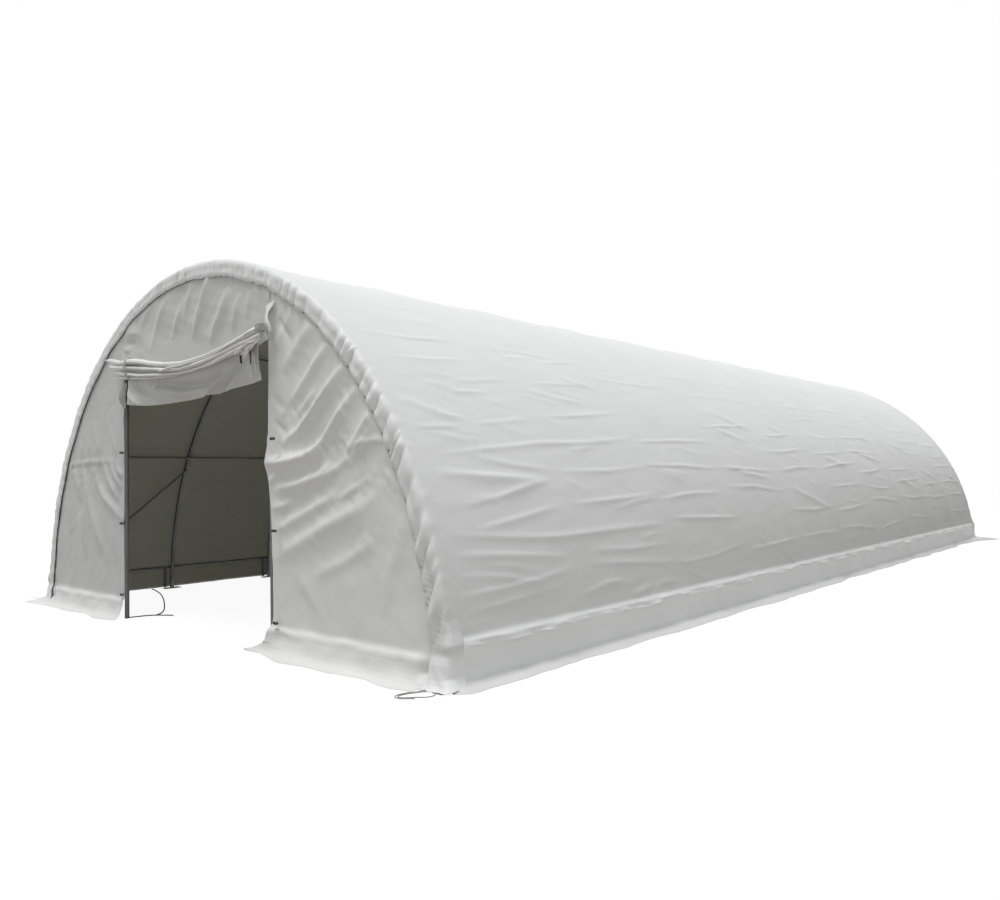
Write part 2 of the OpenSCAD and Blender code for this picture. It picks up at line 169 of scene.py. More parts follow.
# ---- Loose ropes ----
# Three-strand ropes left lying where they fell: one from the left door post's foot, one from
# under the left skirt, and the draw rope's spare end in two loops at the near front corner.
floor_rope_thick = 0.018
floor_rope_rise = 0.010
corner_rope_thick = 0.010
rope_lay = 3.2
post_rope_route = [(x, y, floor_rope_rise) for x, y in (
    (-1.798, -9.842), (-1.790, -9.780), (-1.776, -9.705), (-1.754, -9.630), (-1.718, -9.565),
    (-1.665, -9.512), (-1.600, -9.468), (-1.530, -9.425), (-1.455, -9.382),
)]
wall_rope_route = [(x, y, floor_rope_rise) for x, y in (
    (-4.636, -8.210), (-4.590, -8.214), (-4.530, -8.224), (-4.460, -8.242), (-4.390, -8.262),
    (-4.310, -8.284), (-4.225, -8.308), (-4.140, -8.334), (-4.050, -8.362), (-3.955, -8.393),
    (-3.860, -8.426), (-3.765, -8.460), (-3.665, -8.498), (-3.565, -8.538), (-3.465, -8.578),
    (-3.365, -8.619), (-3.265, -8.661), (-3.165, -8.704), (-3.065, -8.748), (-2.965, -8.792),
    (-2.865, -8.837), (-2.765, -8.883), (-2.665, -8.929), (-2.565, -8.976), (-2.465, -9.023),
    (-2.370, -9.069), (-2.275, -9.116), (-2.180, -9.163), (-2.085, -9.212), (-1.995, -9.262),
    (-1.912, -9.312), (-1.838, -9.362), (-1.775, -9.412), (-1.728, -9.462), (-1.686, -9.518),
)]
corner_rope_route = [
    (4.495, -9.903, 0.249), (4.494, -9.904, 0.205), (4.492, -9.908, 0.160),
    (4.488, -9.914, 0.115), (4.482, -9.923, 0.072), (4.472, -9.936, 0.034),
    (4.458, -9.954, 0.012), (4.442, -9.976, 0.006), (4.424, -10.002, 0.006),
    (4.406, -10.030, 0.006), (4.390, -10.060, 0.006), (4.374, -10.092, 0.006),
    (4.358, -10.126, 0.006), (4.344, -10.162, 0.006), (4.334, -10.200, 0.006),
    (4.328, -10.238, 0.006), (4.334, -10.272, 0.006), (4.356, -10.292, 0.006),
    (4.388, -10.288, 0.006), (4.418, -10.268, 0.006), (4.446, -10.242, 0.006),
    (4.474, -10.214, 0.006), (4.504, -10.188, 0.006), (4.536, -10.162, 0.006),
    (4.560, -10.130, 0.006), (4.566, -10.094, 0.006), (4.558, -10.062, 0.006),
    (4.538, -10.038, 0.007), (4.512, -10.027, 0.010), (4.484, -10.024, 0.014),
    (4.455, -10.023, 0.018), (4.426, -10.026, 0.020), (4.400, -10.036, 0.018),
    (4.376, -10.060, 0.011), (4.357, -10.086, 0.006), (4.340, -10.112, 0.006),
    (4.322, -10.142, 0.006), (4.308, -10.182, 0.006), (4.300, -10.224, 0.006),
    (4.304, -10.266, 0.006), (4.324, -10.300, 0.006), (4.358, -10.318, 0.006),
    (4.396, -10.314, 0.006), (4.432, -10.294, 0.006), (4.466, -10.266, 0.006),
    (4.500, -10.238, 0.006),
]


def smoothed(points, step):
    """A row of given points as one smooth line, with a point about every step."""
    points = np.array(points, float)
    ends = np.vstack([2 * points[0] - points[1], points, 2 * points[-1] - points[-2]])
    line = []
    for a, b, c, d in zip(ends, ends[1:], ends[2:], ends[3:]):
        for t in np.linspace(0, 1, max(2, round(np.linalg.norm(c - b) / step)), endpoint=False):
            line.append(0.5 * (2 * b + (c - a) * t + (2 * a - 5 * b + 4 * c - d) * t ** 2
                               + (3 * b - a - 3 * c + d) * t ** 3))
    return np.array(line + [points[-1]])


def run_along(points):
    """How far along a line each of its points lies."""
    return np.concatenate([[0], np.cumsum(np.linalg.norm(np.diff(points, axis=0), axis=1))])


def new_piece(name, mesh, materials):
    """A shown piece of the shelter, whose place is in its mesh."""
    piece = bpy.data.objects.new(name, mesh)
    bpy.context.scene.collection.objects.link(piece)
    mesh.materials.clear()
    for material in materials:
        mesh.materials.append(material)
    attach(piece, "root")
    return piece


def laid_rope(name, line, thick, fibre, around=18):
    """Three strands laid round each other along a line, as one closed mesh."""
    strand = bpy.data.curves.new(name + "_strands", "CURVE")
    spline = strand.splines.new("POLY")
    spline.points.add(around - 1)
    for i, point in enumerate(spline.points):
        turn = 2 * math.pi * i / around
        reach = thick / 2 * (0.90 + 0.10 * math.cos(3 * turn))
        point.co = (reach * math.cos(turn), reach * math.sin(turn), 0, 1)
    spline.use_cyclic_u = True
    strands = bpy.data.objects.new(name + "_strands", strand)
    curve = bpy.data.curves.new(name + "_line", "CURVE")
    curve.dimensions = "3D"
    curve.twist_mode = "MINIMUM"
    curve.bevel_mode = "OBJECT"
    curve.bevel_object = strands
    curve.use_fill_caps = True
    spline = curve.splines.new("POLY")
    spline.points.add(len(line) - 1)
    for point, place, run in zip(spline.points, line, run_along(line)):
        point.co = (*place, 1)
        point.tilt = 2 * math.pi * run / (rope_lay * thick)
    drawn = bpy.data.objects.new(name + "_line", curve)
    for former in (strands, drawn):
        bpy.context.scene.collection.objects.link(former)
    graph = bpy.context.evaluated_depsgraph_get()
    mesh = bpy.data.meshes.new_from_object(drawn.evaluated_get(graph))
    mesh.name = name
    for former in (drawn, strands):
        bpy.data.objects.remove(former)
    for face in mesh.polygons:
        face.use_smooth = True
    return new_piece(name, mesh, [fibre])


def new_finish(name):
    """A new material, its node tree, and the coordinates on the piece that its patterns read."""
    finish = bpy.data.materials.new(name)
    finish.use_nodes = True
    tree = finish.node_tree
    return finish, tree, add_node(tree, "ShaderNodeTexCoord").outputs["Object"]


def noise(tree, place, scale, detail, **inputs):
    """Cloudy noise, from about 0 to 1."""
    return add_node(tree, "ShaderNodeTexNoise", {
        "Vector": place, "Scale": scale, "Detail": detail, **inputs}).outputs["Fac"]


def mixed_colours(tree, share, first, second):
    """The first colour where the share is 0, the second where it is 1."""
    first, second = (colour if isinstance(colour, bpy.types.NodeSocket) else (*colour, 1)
                     for colour in (first, second))
    return add_node(tree, "ShaderNodeMix", {0: share, 6: first, 7: second}, data_type="RGBA").outputs[2]


def bumps(tree, height, strength, distance, **inputs):
    """A surface roughened by a height, with one bump laid over another where Normal is given."""
    return add_node(tree, "ShaderNodeBump", {
        "Height": height, "Strength": strength, "Distance": distance, **inputs}).outputs[0]


def set_surface(tree, inputs):
    """Sets the finish's own shader, which every new material starts with."""
    set_inputs(tree, tree.nodes["Principled BSDF"], inputs)


def rope_fibre(name, light, dark):
    """Spun fibre: fine hairs along the strands, worn lighter and dirtier in places."""
    fibre, tree, place = new_finish(name)
    wear = noise(tree, place, 9.0, 5.0, Roughness=0.6)
    hairs = noise(tree, place, 420.0, 3.0, Distortion=1.5)
    set_surface(tree, {
        "Base Color": mixed_colours(tree, wear, dark, light),
        "Roughness": 0.85,
        "Normal": bumps(tree, hairs, 0.5, 0.002)})
    return fibre


floor_fibre = rope_fibre("weathered_rope", (0.20, 0.19, 0.18), (0.07, 0.07, 0.07))
corner_fibre = rope_fibre("grey_draw_rope", (0.52, 0.52, 0.51), (0.20, 0.20, 0.20))
for name, route, thick, fibre in (
    ("post_rope", post_rope_route, floor_rope_thick, floor_fibre),
    ("wall_rope", wall_rope_route, floor_rope_thick, floor_fibre),
    ("corner_rope", corner_rope_route, corner_rope_thick, corner_fibre),
):
    line = smoothed(route, rope_lay * thick / 9)
    rope = laid_rope(name, line, thick, fibre)
    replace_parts(rope, name)


# ---- Steel frame ----
# Bent and straight tubes of galvanised steel, bolted together on base plates that are pinned to
# the ground. The zinc is dull, with a faint spangle, and stained where water has stood on it.


def zinc(name, light, dark, rough, stain):
    """Weathered zinc: spangle, water stains and a little grain in the surface."""
    steel, tree, place = new_finish(name)
    spangle = add_node(tree, "ShaderNodeTexVoronoi", {"Vector": place, "Scale": 75.0}).outputs["Distance"]
    clouds = noise(tree, place, 3.5, 6.0, Roughness=0.65)
    clean_zinc = mixed_colours(tree, spangle, light, dark)
    stains = ranged(tree, clouds, (0.45, 0.75))
    set_surface(tree, {
        "Base Color": mixed_colours(tree, stains, clean_zinc, stain),
        "Roughness": ranged(tree, clouds, result=(rough - 0.08, rough + 0.14)),
        "Metallic": 0.45,
        "Normal": bumps(tree, clouds, 0.25, 0.002)})
    return steel


tube_zinc = zinc("tube_zinc", (0.17, 0.175, 0.175), (0.11, 0.115, 0.115), 0.50, (0.10, 0.095, 0.085))
plate_zinc = zinc("plate_zinc", (0.30, 0.30, 0.30), (0.20, 0.20, 0.20), 0.55, (0.17, 0.13, 0.10))
tubes = (
    "front_hoop", "middle_hoops", "rear_hoop", "ridge_purlin", "left_purlins", "right_purlins",
    "front_braces", "rear_braces", "front_left_post", "front_right_post", "front_header",
    "rear_left_post", "rear_right_post", "rear_header", "left_cover_rail", "right_cover_rail",
)
for steel, names in ((tube_zinc, tubes), (plate_zinc, ("left_base_plates", "right_base_plates"))):
    for name in names:
        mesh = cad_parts[name].data
        mesh.materials.clear()
        mesh.materials.append(steel)


# ---- Clamps, sockets and anchor pins ----
# Pressed steel bands that clamp each purlin under a hoop, with a bolt each, a socket at each foot,
# and pins with six-sided heads driven through the base plates.
hoop_low, hoop_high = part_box("front_hoop")
rear_low, rear_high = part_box("rear_hoop")
ridge_low, ridge_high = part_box("ridge_purlin")
tube_radius = (hoop_high.y - hoop_low.y) / 2
hoop_radius = hoop_high.z - tube_radius
front_hoop_y = (hoop_low.y + hoop_high.y) / 2
rear_hoop_y = (rear_low.y + rear_high.y) / 2
bays = 10
hoop_places = [front_hoop_y + (rear_hoop_y - front_hoop_y) * i / bays for i in range(bays + 1)]
plate_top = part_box("right_base_plates")[1].z
purlin_radius = (ridge_high.z - ridge_low.z) / 2
purlin_arch = (ridge_low.z + ridge_high.z) / 2
purlin_angles = (31, 60, 90, 120, 149)
band_wall = 0.003
band_gap = 0.0004
clamp_long = 0.035
clamp_from_hoop = 0.055
bolt_radius = 0.011
bolt_deep = 0.012
socket_tall = 0.12
socket_gap = 0.0019
pin_from_hoop = 0.075
pin_radius = 0.0065
pin_head_radius = 0.014
pin_head_deep = 0.014


def pointed(along):
    """The turn that points the z axis along a direction."""
    return Vector(along).to_track_quat("Z", "Y").to_matrix().to_4x4()


def ring_round(bm, centre, along, inner, wall, length, sides=20):
    """A short tube of sheet steel round a line, made by a circle that is drawn out and given a wall."""
    way = Vector(along).normalized() * length
    made = bmesh.ops.create_circle(bm, segments=sides, radius=inner,
                                   matrix=Matrix.Translation(Vector(centre) - way / 2) @ pointed(along))
    edges = list(dict.fromkeys(edge for vert in made["verts"] for edge in vert.link_edges))
    drawn = bmesh.ops.extrude_edge_only(bm, edges=edges)["geom"]
    ends = [g for g in drawn if isinstance(g, bmesh.types.BMVert)]
    bmesh.ops.translate(bm, verts=ends, vec=way)
    faces = list(dict.fromkeys(face for vert in ends for face in vert.link_faces))
    bmesh.ops.recalc_face_normals(bm, faces=faces)
    bmesh.ops.solidify(bm, geom=faces, thickness=-wall)


def drum(bm, centre, turn, radius, depth, sides, far_radius=None):
    """A short solid rod about a point, along the turned z axis; it may taper to its far end."""
    bmesh.ops.create_cone(bm, cap_ends=True, segments=sides, radius1=radius,
                          radius2=far_radius or radius, depth=depth,
                          matrix=Matrix.Translation(centre) @ turn)


def finished(bm, name, material):
    """The mesh as a shown piece of the shelter, smooth where it is round."""
    bmesh.ops.recalc_face_normals(bm, faces=bm.faces)
    for face in bm.faces:
        face.smooth = True
    mesh = bpy.data.meshes.new(name)
    bm.to_mesh(mesh)
    bm.free()
    mesh.set_sharp_from_angle(angle=math.radians(40))
    return new_piece(name, mesh, [material])


upright = Matrix.Identity(4)
bm = bmesh.new()
for angle in purlin_angles:
    out = Vector((math.cos(math.radians(angle)), 0, math.sin(math.radians(angle))))
    for y in hoop_places[1:-1]:
        beside = Vector((0, y - clamp_from_hoop, 0))
        ring_round(bm, out * purlin_arch + beside, (0, 1, 0), purlin_radius + band_gap, band_wall,
                   clamp_long)
        drum(bm, out * (purlin_arch - purlin_radius - 0.008) + beside, pointed(out), bolt_radius,
             bolt_deep, 6)
finished(bm, "purlin_clamps", plate_zinc)

bm = bmesh.new()
for side in (-1, 1):
    for y in hoop_places:
        foot = Vector((side * hoop_radius, y, plate_top))
        ring_round(bm, foot + Vector((0, 0, socket_tall / 2)), (0, 0, 1), tube_radius + socket_gap,
                   band_wall, socket_tall, 24)
        for end in (-1, 1):
            pin = foot + Vector((0, end * pin_from_hoop, 0))
            drum(bm, pin + Vector((0, 0, 0.0072)), upright, pin_head_radius, pin_head_deep, 6)
            drum(bm, pin + Vector((0, 0, 0.006)), upright, pin_radius, 0.03, 16)
finished(bm, "foot_sockets_and_pins", plate_zinc)


# ---- Main cover ----
# One sheet of white woven polyethylene, coated to shed water, drawn tight over the hoops from
# pocket to pocket. It dips a little between hoops, and carries the creases it was packed with.
# It is made in a front and a rear half that meet over the middle hoop.
cover_radius = 4.572
cover_thick = 0.004
cover_end = front_hoop_y - 0.006
bay = hoop_places[1] - hoop_places[0]
middle = (front_hoop_y + rear_hoop_y) / 2
dip = 0.022
half_lap = 0.02
cover_hem_height = 0.41
cover_round = 14.0
crease_width = 0.024


def cloth(name, cut, across, along, shape, seen_from, materials, replaced=(),
          thick=cover_thick):
    """A grid of cloth cut to (width, length), put in its place by shape(u, v), and given its thickness
    on the side away from where it is seen. Its first and last rows are narrow, so the edge turns
    crisply. A second material is the cloth's other face. The sheet stands for the replaced ones."""
    bm = bmesh.new()
    weave = bm.loops.layers.uv.new("weave")
    bmesh.ops.create_grid(bm, x_segments=across, y_segments=along, size=0.5,
                          matrix=Matrix.Translation((0.5, 0.5, 0)))
    grid = np.array([vert.co for vert in bm.verts])
    for axis, count in ((0, across), (1, along)):
        if count >= 8:
            margin = np.minimum(grid[:, axis], 1 - grid[:, axis])
            beside_edge = np.isclose(margin, 1 / count)
            narrow = np.where(grid[:, axis] < 0.5, 0.12 / count, 1 - 0.12 / count)
            grid[:, axis] = np.where(beside_edge, narrow, grid[:, axis])
    placed = np.stack(shape(grid[:, 0], grid[:, 1]), axis=1)
    for vert, place in zip(bm.verts, placed):
        vert.co = place
    for face in bm.faces:
        face.smooth = True
        for loop in face.loops:
            u, v = grid[loop.vert.index][:2]
            loop[weave].uv = (u * cut[0], v * cut[1])
    bm.normal_update()
    facing = sum(face.normal.dot(Vector(seen_from) - face.calc_center_median()) * face.calc_area()
                 for face in bm.faces)
    if facing < 0:
        bmesh.ops.reverse_faces(bm, faces=bm.faces)
    mesh = bpy.data.meshes.new(name)
    bm.to_mesh(mesh)
    bm.free()
    piece = new_piece(name, mesh, materials)
    wall = piece.modifiers.new("thickness", "SOLIDIFY")
    wall.thickness = thick
    wall.offset = -1
    wall.material_offset = len(materials) - 1
    if replaced:
        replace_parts(piece, *replaced)


def tent(value, middle, reach):
    """1 at the middle, falling evenly to 0 at the reach on both sides."""
    return np.clip(1 - np.abs(value - middle) / reach, 0, 1)


def add_fold(height, a, b, path, width, rise, lean=0.0):
    """Adds one fold to a field of heights: a crest along a path, dying away at its two ends. With
    a lean, one flank is steeper than the other."""
    path = np.array(path, float)
    low, high = path.min(0) - 4 * width, path.max(0) + 4 * width
    near = (a > low[0]) & (a < high[0]) & (b > low[1]) & (b < high[1])
    if not near.any():
        return
    points = np.stack([a[near], b[near]], axis=1)
    best = np.full(len(points), 1e9)
    run = np.zeros(len(points))
    side = np.zeros(len(points))
    done = 0.0
    for start, end in zip(path, path[1:]):
        way = end - start
        long = np.linalg.norm(way)
        t = np.clip((points - start) @ way / long ** 2, 0, 1)
        off = points - start - t[:, None] * way
        away = np.linalg.norm(off, axis=1)
        closer = away < best
        best[closer] = away[closer]
        run[closer] = (done + t * long)[closer]
        side[closer] = np.sign(way[0] * off[:, 1] - way[1] * off[:, 0])[closer]
        done += long
    fade = np.sin(math.pi * np.clip(run / done, 0, 1)) ** 0.7
    reach = width * (1 + lean * side)
    height[near] += rise * fade * np.exp(1 - np.sqrt(1 + (2 * best / reach) ** 2))


def waves(a, b, seed, count, length, stretch=1.0):
    """Low rolling waves with no direction of their own, from about -1 to 1; b is stretched."""
    draw = np.random.default_rng(seed)
    total = np.zeros_like(a)
    for _ in range(count):
        angle, phase = draw.uniform(0, 2 * math.pi, 2)
        size = 2 * math.pi / (length * draw.uniform(0.6, 1.6))
        total += np.sin(size * (a * math.cos(angle) + b / stretch * math.sin(angle)) + phase)
    return total / math.sqrt(count)


def woven_cloth(name, light, shade, dirt_and_shade, gloss, crumple=1.0, shade_depth=0.0, shade_top=2.1,
                splashed=0.16, unshaded_band=(0.0, 0.24)):
    """Coated woven cloth: a fine weave of flat tapes, soft crumples, slow changes of tone, grime
    splashed up from the ground, and painted shade that darkens it low down, fading with height and
    toward the front. The painted shade is left out of a band, given by its middle height and reach."""
    stuff, tree, place = new_finish(name)
    weave_place = add_node(tree, "ShaderNodeUVMap", uv_map="weave").outputs[0]
    tapes = [add_node(tree, "ShaderNodeTexWave", {"Vector": weave_place, "Scale": 90.0},
                      bands_direction=way).outputs["Fac"] for way in "XY"]
    stretched = add_node(tree, "ShaderNodeMapping", {"Vector": place, "Scale": (1.0, 0.45, 1.0)}).outputs[0]
    crumples = noise(tree, stretched, 4.2, 8.0, Roughness=0.62, Distortion=0.4)
    tone = mixed_colours(tree, noise(tree, stretched, 0.9, 3.0), light, shade)
    axes = add_node(tree, "ShaderNodeSeparateXYZ", {0: place}).outputs
    # Painted shade: the colour is darkened low down and more toward the rear, except in one band at a given
    # height.
    off_band = maths(tree, "ABSOLUTE", maths(tree, "SUBTRACT", axes["Z"], unshaded_band[0]))
    unshaded = ranged(tree, off_band, (unshaded_band[1], unshaded_band[1] + 0.10))
    rearward = ranged(tree, axes["Y"], (-10.0, 10.0), (0.62, 2.0))
    painted_shade = maths(tree, "MULTIPLY", ranged(tree, axes["Z"], (shade_top, 0.5), (0, shade_depth)), unshaded)
    shaded_tone = mixed_colours(tree, maths(tree, "MULTIPLY", painted_shade, rearward, clamped=True), tone, dirt_and_shade)
    patchy = maths(tree, "MULTIPLY", ranged(tree, axes["Z"], (0.30, 0.0), (0, splashed)), crumples)
    soft = bumps(tree, crumples, 0.10 * crumple, 0.03)
    set_surface(tree, {
        "Base Color": mixed_colours(tree, patchy, shaded_tone, dirt_and_shade),
        "Roughness": ranged(tree, crumples, result=(gloss - 0.07, gloss + 0.10)),
        "Specular IOR Level": 0.35,
        "Normal": bumps(tree, maths(tree, "MULTIPLY", *tapes), 0.12, 0.0006, Normal=soft)})
    return stuff


# The cover cloth carries painted shade: it is darker low down and more so toward the rear.
white_cloth = woven_cloth("white_cover_cloth", (0.865, 0.87, 0.87), (0.81, 0.815, 0.815),
                          (0.50, 0.502, 0.49), 0.50, 1.5, 0.60, 2.6)
# The inner face is a lighter, warm-tinted copy of the cover cloth: painted light, the colour of the dim warm
# light inside the tunnel.
inner_cloth = woven_cloth("shaded_inner_face", (0.90, 0.885, 0.775), (0.83, 0.81, 0.70),
                          (0.56, 0.51, 0.41), 0.60, 0.6)

# Packing creases: (height angle in degrees, strength), one row of creases in every bay
crease_rows = [(9.6, 0.9), (15.6, 1.1), (20.3, 1.0), (24.9, 1.1), (29.6, 1.0), (34.2, 0.9),
               (39.0, 0.7), (43.5, 0.6), (48.6, 0.5), (54.0, 0.35), (61.0, 0.3), (70.0, 0.25),
               (80.0, 0.2)]
# Creases near the front, as (width, rise, [(angle, y), ...])
front_creases = [
    (0.035, 0.011, [(47.4, -9.2), (49.2, -8.2)]),
    (0.030, 0.012, [(42.8, -9.4), (43.2, -8.9), (44.4, -8.2)]),
    (0.035, 0.016, [(38.8, -9.3), (38.3, -9.0), (37.2, -8.8), (37.6, -8.3)]),
    (0.030, 0.010, [(39.0, -8.7), (40.3, -7.9)]),
    (0.045, 0.020, [(35.5, -9.6), (34.0, -9.4), (32.9, -9.2), (32.6, -8.9)]),
    (0.030, 0.012, [(31.8, -8.8), (32.4, -8.3), (33.0, -7.9)]),
    (0.030, 0.012, [(30.6, -9.7), (31.1, -9.0)]),
    (0.030, 0.014, [(30.4, -9.5), (28.9, -9.0)]),
    (0.035, 0.016, [(27.0, -9.5), (27.8, -8.9), (28.9, -7.9), (29.5, -6.9), (30.7, -5.9)]),
    (0.030, 0.014, [(27.1, -9.1), (25.7, -8.6), (24.5, -7.9)]),
    (0.060, 0.026, [(24.6, -9.6), (24.2, -9.1), (23.7, -8.5), (23.1, -8.0)]),
    (0.030, 0.012, [(20.8, -8.9), (22.7, -8.3), (23.2, -8.0)]),
    (0.030, 0.012, [(33.6, -7.6), (34.2, -7.0), (35.6, -5.9)]),
    (0.035, 0.012, [(24.6, -7.8), (24.6, -6.8), (25.4, -5.9)]),
    (0.030, 0.010, [(46.4, -7.5), (47.8, -6.9)]),
    (0.025, 0.012, [(46.4, -6.8), (47.8, -6.0)]),
    (0.030, 0.010, [(40.6, -7.4), (42.0, -6.0)]),
    (0.040, 0.012, [(39.2, -7.6), (38.0, -7.1), (37.2, -6.5)]),
    (0.035, 0.014, [(20.0, -9.4), (21.2, -8.8), (23.0, -8.1)]),
    (0.035, 0.016, [(17.2, -9.3), (18.2, -8.7), (19.5, -8.0)]),
    (0.035, 0.015, [(19.7, -7.7), (20.1, -6.8), (20.6, -5.9)]),
    (0.040, 0.018, [(16.8, -9.7), (16.2, -9.2), (15.5, -8.5), (15.2, -8.0), (15.4, -7.3), (15.6, -5.9)]),
    (0.040, 0.015, [(14.6, -9.7), (13.9, -9.0), (12.7, -8.0)]),
    (0.035, 0.015, [(9.8, -9.7), (10.0, -9.1), (10.4, -8.5), (11.2, -8.0)]),
    (0.035, 0.012, [(11.3, -7.7), (10.3, -6.7), (9.5, -5.9)]),
    (0.025, 0.012, [(13.8, -6.5), (14.6, -6.2)]),
    (0.030, 0.014, [(5.9, -7.0), (6.8, -6.5)]),
    (0.030, 0.014, [(5.2, -6.5), (6.7, -6.3), (6.7, -5.9)]),
    (0.026, 0.010, [(52.6, -9.4), (53.2, -8.6), (54.4, -7.9)]),
    (0.026, 0.010, [(58.0, -9.0), (59.6, -7.6)]),
    (0.024, 0.009, [(64.5, -8.6), (65.4, -7.8)]),
    (0.024, 0.009, [(51.0, -7.4), (52.4, -6.4)]),
    (0.030, 0.013, [(12.2, -9.6), (11.0, -8.9), (9.2, -8.3)]),
    (0.028, 0.012, [(7.8, -9.6), (8.3, -8.9), (9.1, -8.2)]),
    (0.028, 0.012, [(18.6, -6.9), (19.6, -6.4), (20.0, -5.9)]),
    (0.026, 0.010, [(27.9, -7.4), (28.8, -6.8)]),
    (0.030, 0.012, [(13.0, -7.6), (12.4, -6.8), (12.5, -6.0)]),
    (0.026, 0.014, [(7.3, -7.9), (8.2, -7.5), (8.6, -7.0)]),
    (0.026, -0.012, [(7.0, -6.9), (8.0, -6.6)]),
]
# Slanting pulls in the far bays, as (angle, y) at their two ends
slanting_pulls = [
    ((38.6, -3.0), (33.7, -2.1)), ((34.1, -3.3), (31.2, -2.4)), ((24.4, -3.3), (22.8, -2.3)),
    ((36.5, -1.2), (33.8, -0.7)), ((28.7, 0.5), (25.3, 1.6)), ((20.8, -1.6), (15.5, -0.2)),
    ((29.7, 2.6), (26.6, 3.8)), ((35.9, 3.2), (33.2, 4.0)), ((24.8, 6.6), (21.1, 7.6)),
    ((25.5, 8.8), (17.2, 9.7)), ((33.5, 5.4), (29.6, 6.4)), ((22.0, 4.6), (18.6, 5.5)),
]


def crease_plan():
    """Every crease in the cover as (width, rise, points), the points as (arc length, y)."""
    draw = np.random.default_rng(41)
    plan = list(front_creases)
    for start, end in slanting_pulls:
        plan.append((0.045, 0.020, [start, end]))
    for first, last in zip(hoop_places, hoop_places[1:]):
        for mirrored in (False, True):
            for angle, strength in crease_rows:
                skip, jog, slope, bend, long = draw.uniform(-1, 1, 5)
                laid_by_hand = first < -6 and not mirrored and angle < 48
                if laid_by_hand or skip > 0.72:
                    continue
                start_y = first + bay * (0.02 + 0.08 * long)
                end_y = last + bay * (0.10 * jog - 0.04)
                mid = angle + 0.7 * jog
                row = [(mid - 0.8 * slope, start_y), (mid - 0.6 * bend, (start_y + end_y) / 2),
                       (mid + 0.8 * slope, end_y)]
                if mirrored:
                    row = [(180 - a, y) for a, y in row]
                plan.append((crease_width, 0.0145 * strength * (1 + 0.3 * skip), row))
            for _ in range(9):
                angle, y, long, fall = draw.uniform(0, 1, 4)
                top = 8 + 38 * angle
                start_y = first + bay * 0.7 * y
                row = [(top, start_y), (top - 1 - 3 * fall, start_y + 0.25 + 0.55 * long)]
                if mirrored:
                    row = [(180 - a, y) for a, y in row]
                plan.append((crease_width, 0.009, row))
    placed = []
    for width, rise, row in plan:
        low = min(row[0][0], 180 - row[0][0])
        rise *= np.interp(low, [12, 24], [1.05, 1.0])
        placed.append((width, rise, [(math.radians(a) * cover_radius, y) for a, y in row]))
    return placed


cover_creases = crease_plan()


def cover_lift(angle, y):
    """How far the cover stands off its circle: dips between the hoops, creases and slow waves."""
    arc = angle * cover_radius
    over = np.sin(math.pi * (y - front_hoop_y) / bay) ** 2
    lift = -dip * (1 - np.exp(-3.0 * over)) / 0.95 * np.clip(np.sin(angle) * 3, 0.3, 1)
    lift += 0.004 * waves(arc, y, 7, 9, 0.9, 2.4) * over
    lift += 0.0012 * waves(arc, y, 8, 14, 0.22, 2.0)
    for i, (width, rise, row) in enumerate(cover_creases):
        add_fold(lift, arc, y, row, width, rise, 0.35 if i % 3 else -0.35)
    return lift


def cover_half(name, y_start, y_end, lap, columns):
    """Half of the cover, with its rows closest together low on the sides, where it creases most;
    lap is how far it stands off the other half where the two meet."""
    foot = math.asin(cover_hem_height / cover_radius)
    long = abs(y_end - y_start)

    def shape(u, v):
        angle = np.interp(v, [0, 0.42, 0.72, 1], [foot, math.radians(50), math.radians(130), math.pi - foot])
        y = y_start + (y_end - y_start) * u
        radius = cover_radius + cover_lift(angle, y) + lap * tent(y, middle, 0.35)
        return radius * np.cos(angle), y, radius * np.sin(angle)

    cloth(name, (long, cover_round), columns, 400, shape, (0, 0, 99), [white_cloth, inner_cloth],
          ["main_cover"])


cover_half("cover_front_half", cover_end, middle + half_lap, 0.0025, 104)
cover_half("cover_rear_half", middle - half_lap, -cover_end, -0.001, 92)


# ---- Gathered hems ----
# Each end of the cover is turned in over its end hoop and drawn up by a black rope in the hem. The
# spare cloth puckers all round, in long slanting pleats low down where the pull is steepest.
hem_edge = 4.385
hem_pull = 0.042
hem_flat = (14.6, 0.43)
hem_deep = 0.19
foot_share = 0.030
foot_height = 0.018
arch_foot = math.radians(3.4)
# The hem's section from over the cover round to its free edge, as (distance in from the end hoop,
# height off the cover)
hem_profile = [
    (0.165, -0.012), (0.115, 0.000), (0.050, 0.003), (0.016, 0.005), (-0.006, 0.006), (-0.026, 0.000),
    (-0.040, -0.014),
    (-0.047, -0.034), (-0.050, -0.062), (-0.050, -0.095), (-0.051, -0.125), (-0.054, -0.150),
    (-0.058, -0.168), (-0.060, -0.180), (-0.056, -0.190), (-0.044, -0.194),
]


def ramp(value, start, end):
    """0 up to the start and 1 past the end, which may be the lower of the two."""
    return np.clip((value - start) / (end - start), 0, 1)


def hump(value, middle, reach):
    """A soft rise to 1 about the middle."""
    return np.exp(-((value - middle) / reach) ** 2)


def pucker_places(seed):
    """Where the gathers lie round the arch, as angles, and how far the cloth swells after each."""
    draw = np.random.default_rng(seed)
    places = [math.radians(2.0)]
    while places[-1] < math.radians(178.5):
        low_right = 1 + 0.15 * max(0, math.cos(places[-1]))
        step = draw.choice([0.07, 0.12, 0.17, 0.24, 0.31]) * draw.uniform(0.8, 1.2) * low_right
        places.append(places[-1] + step / hoop_radius)
    return np.array(places), draw.uniform(0.45, 1.15, len(places))


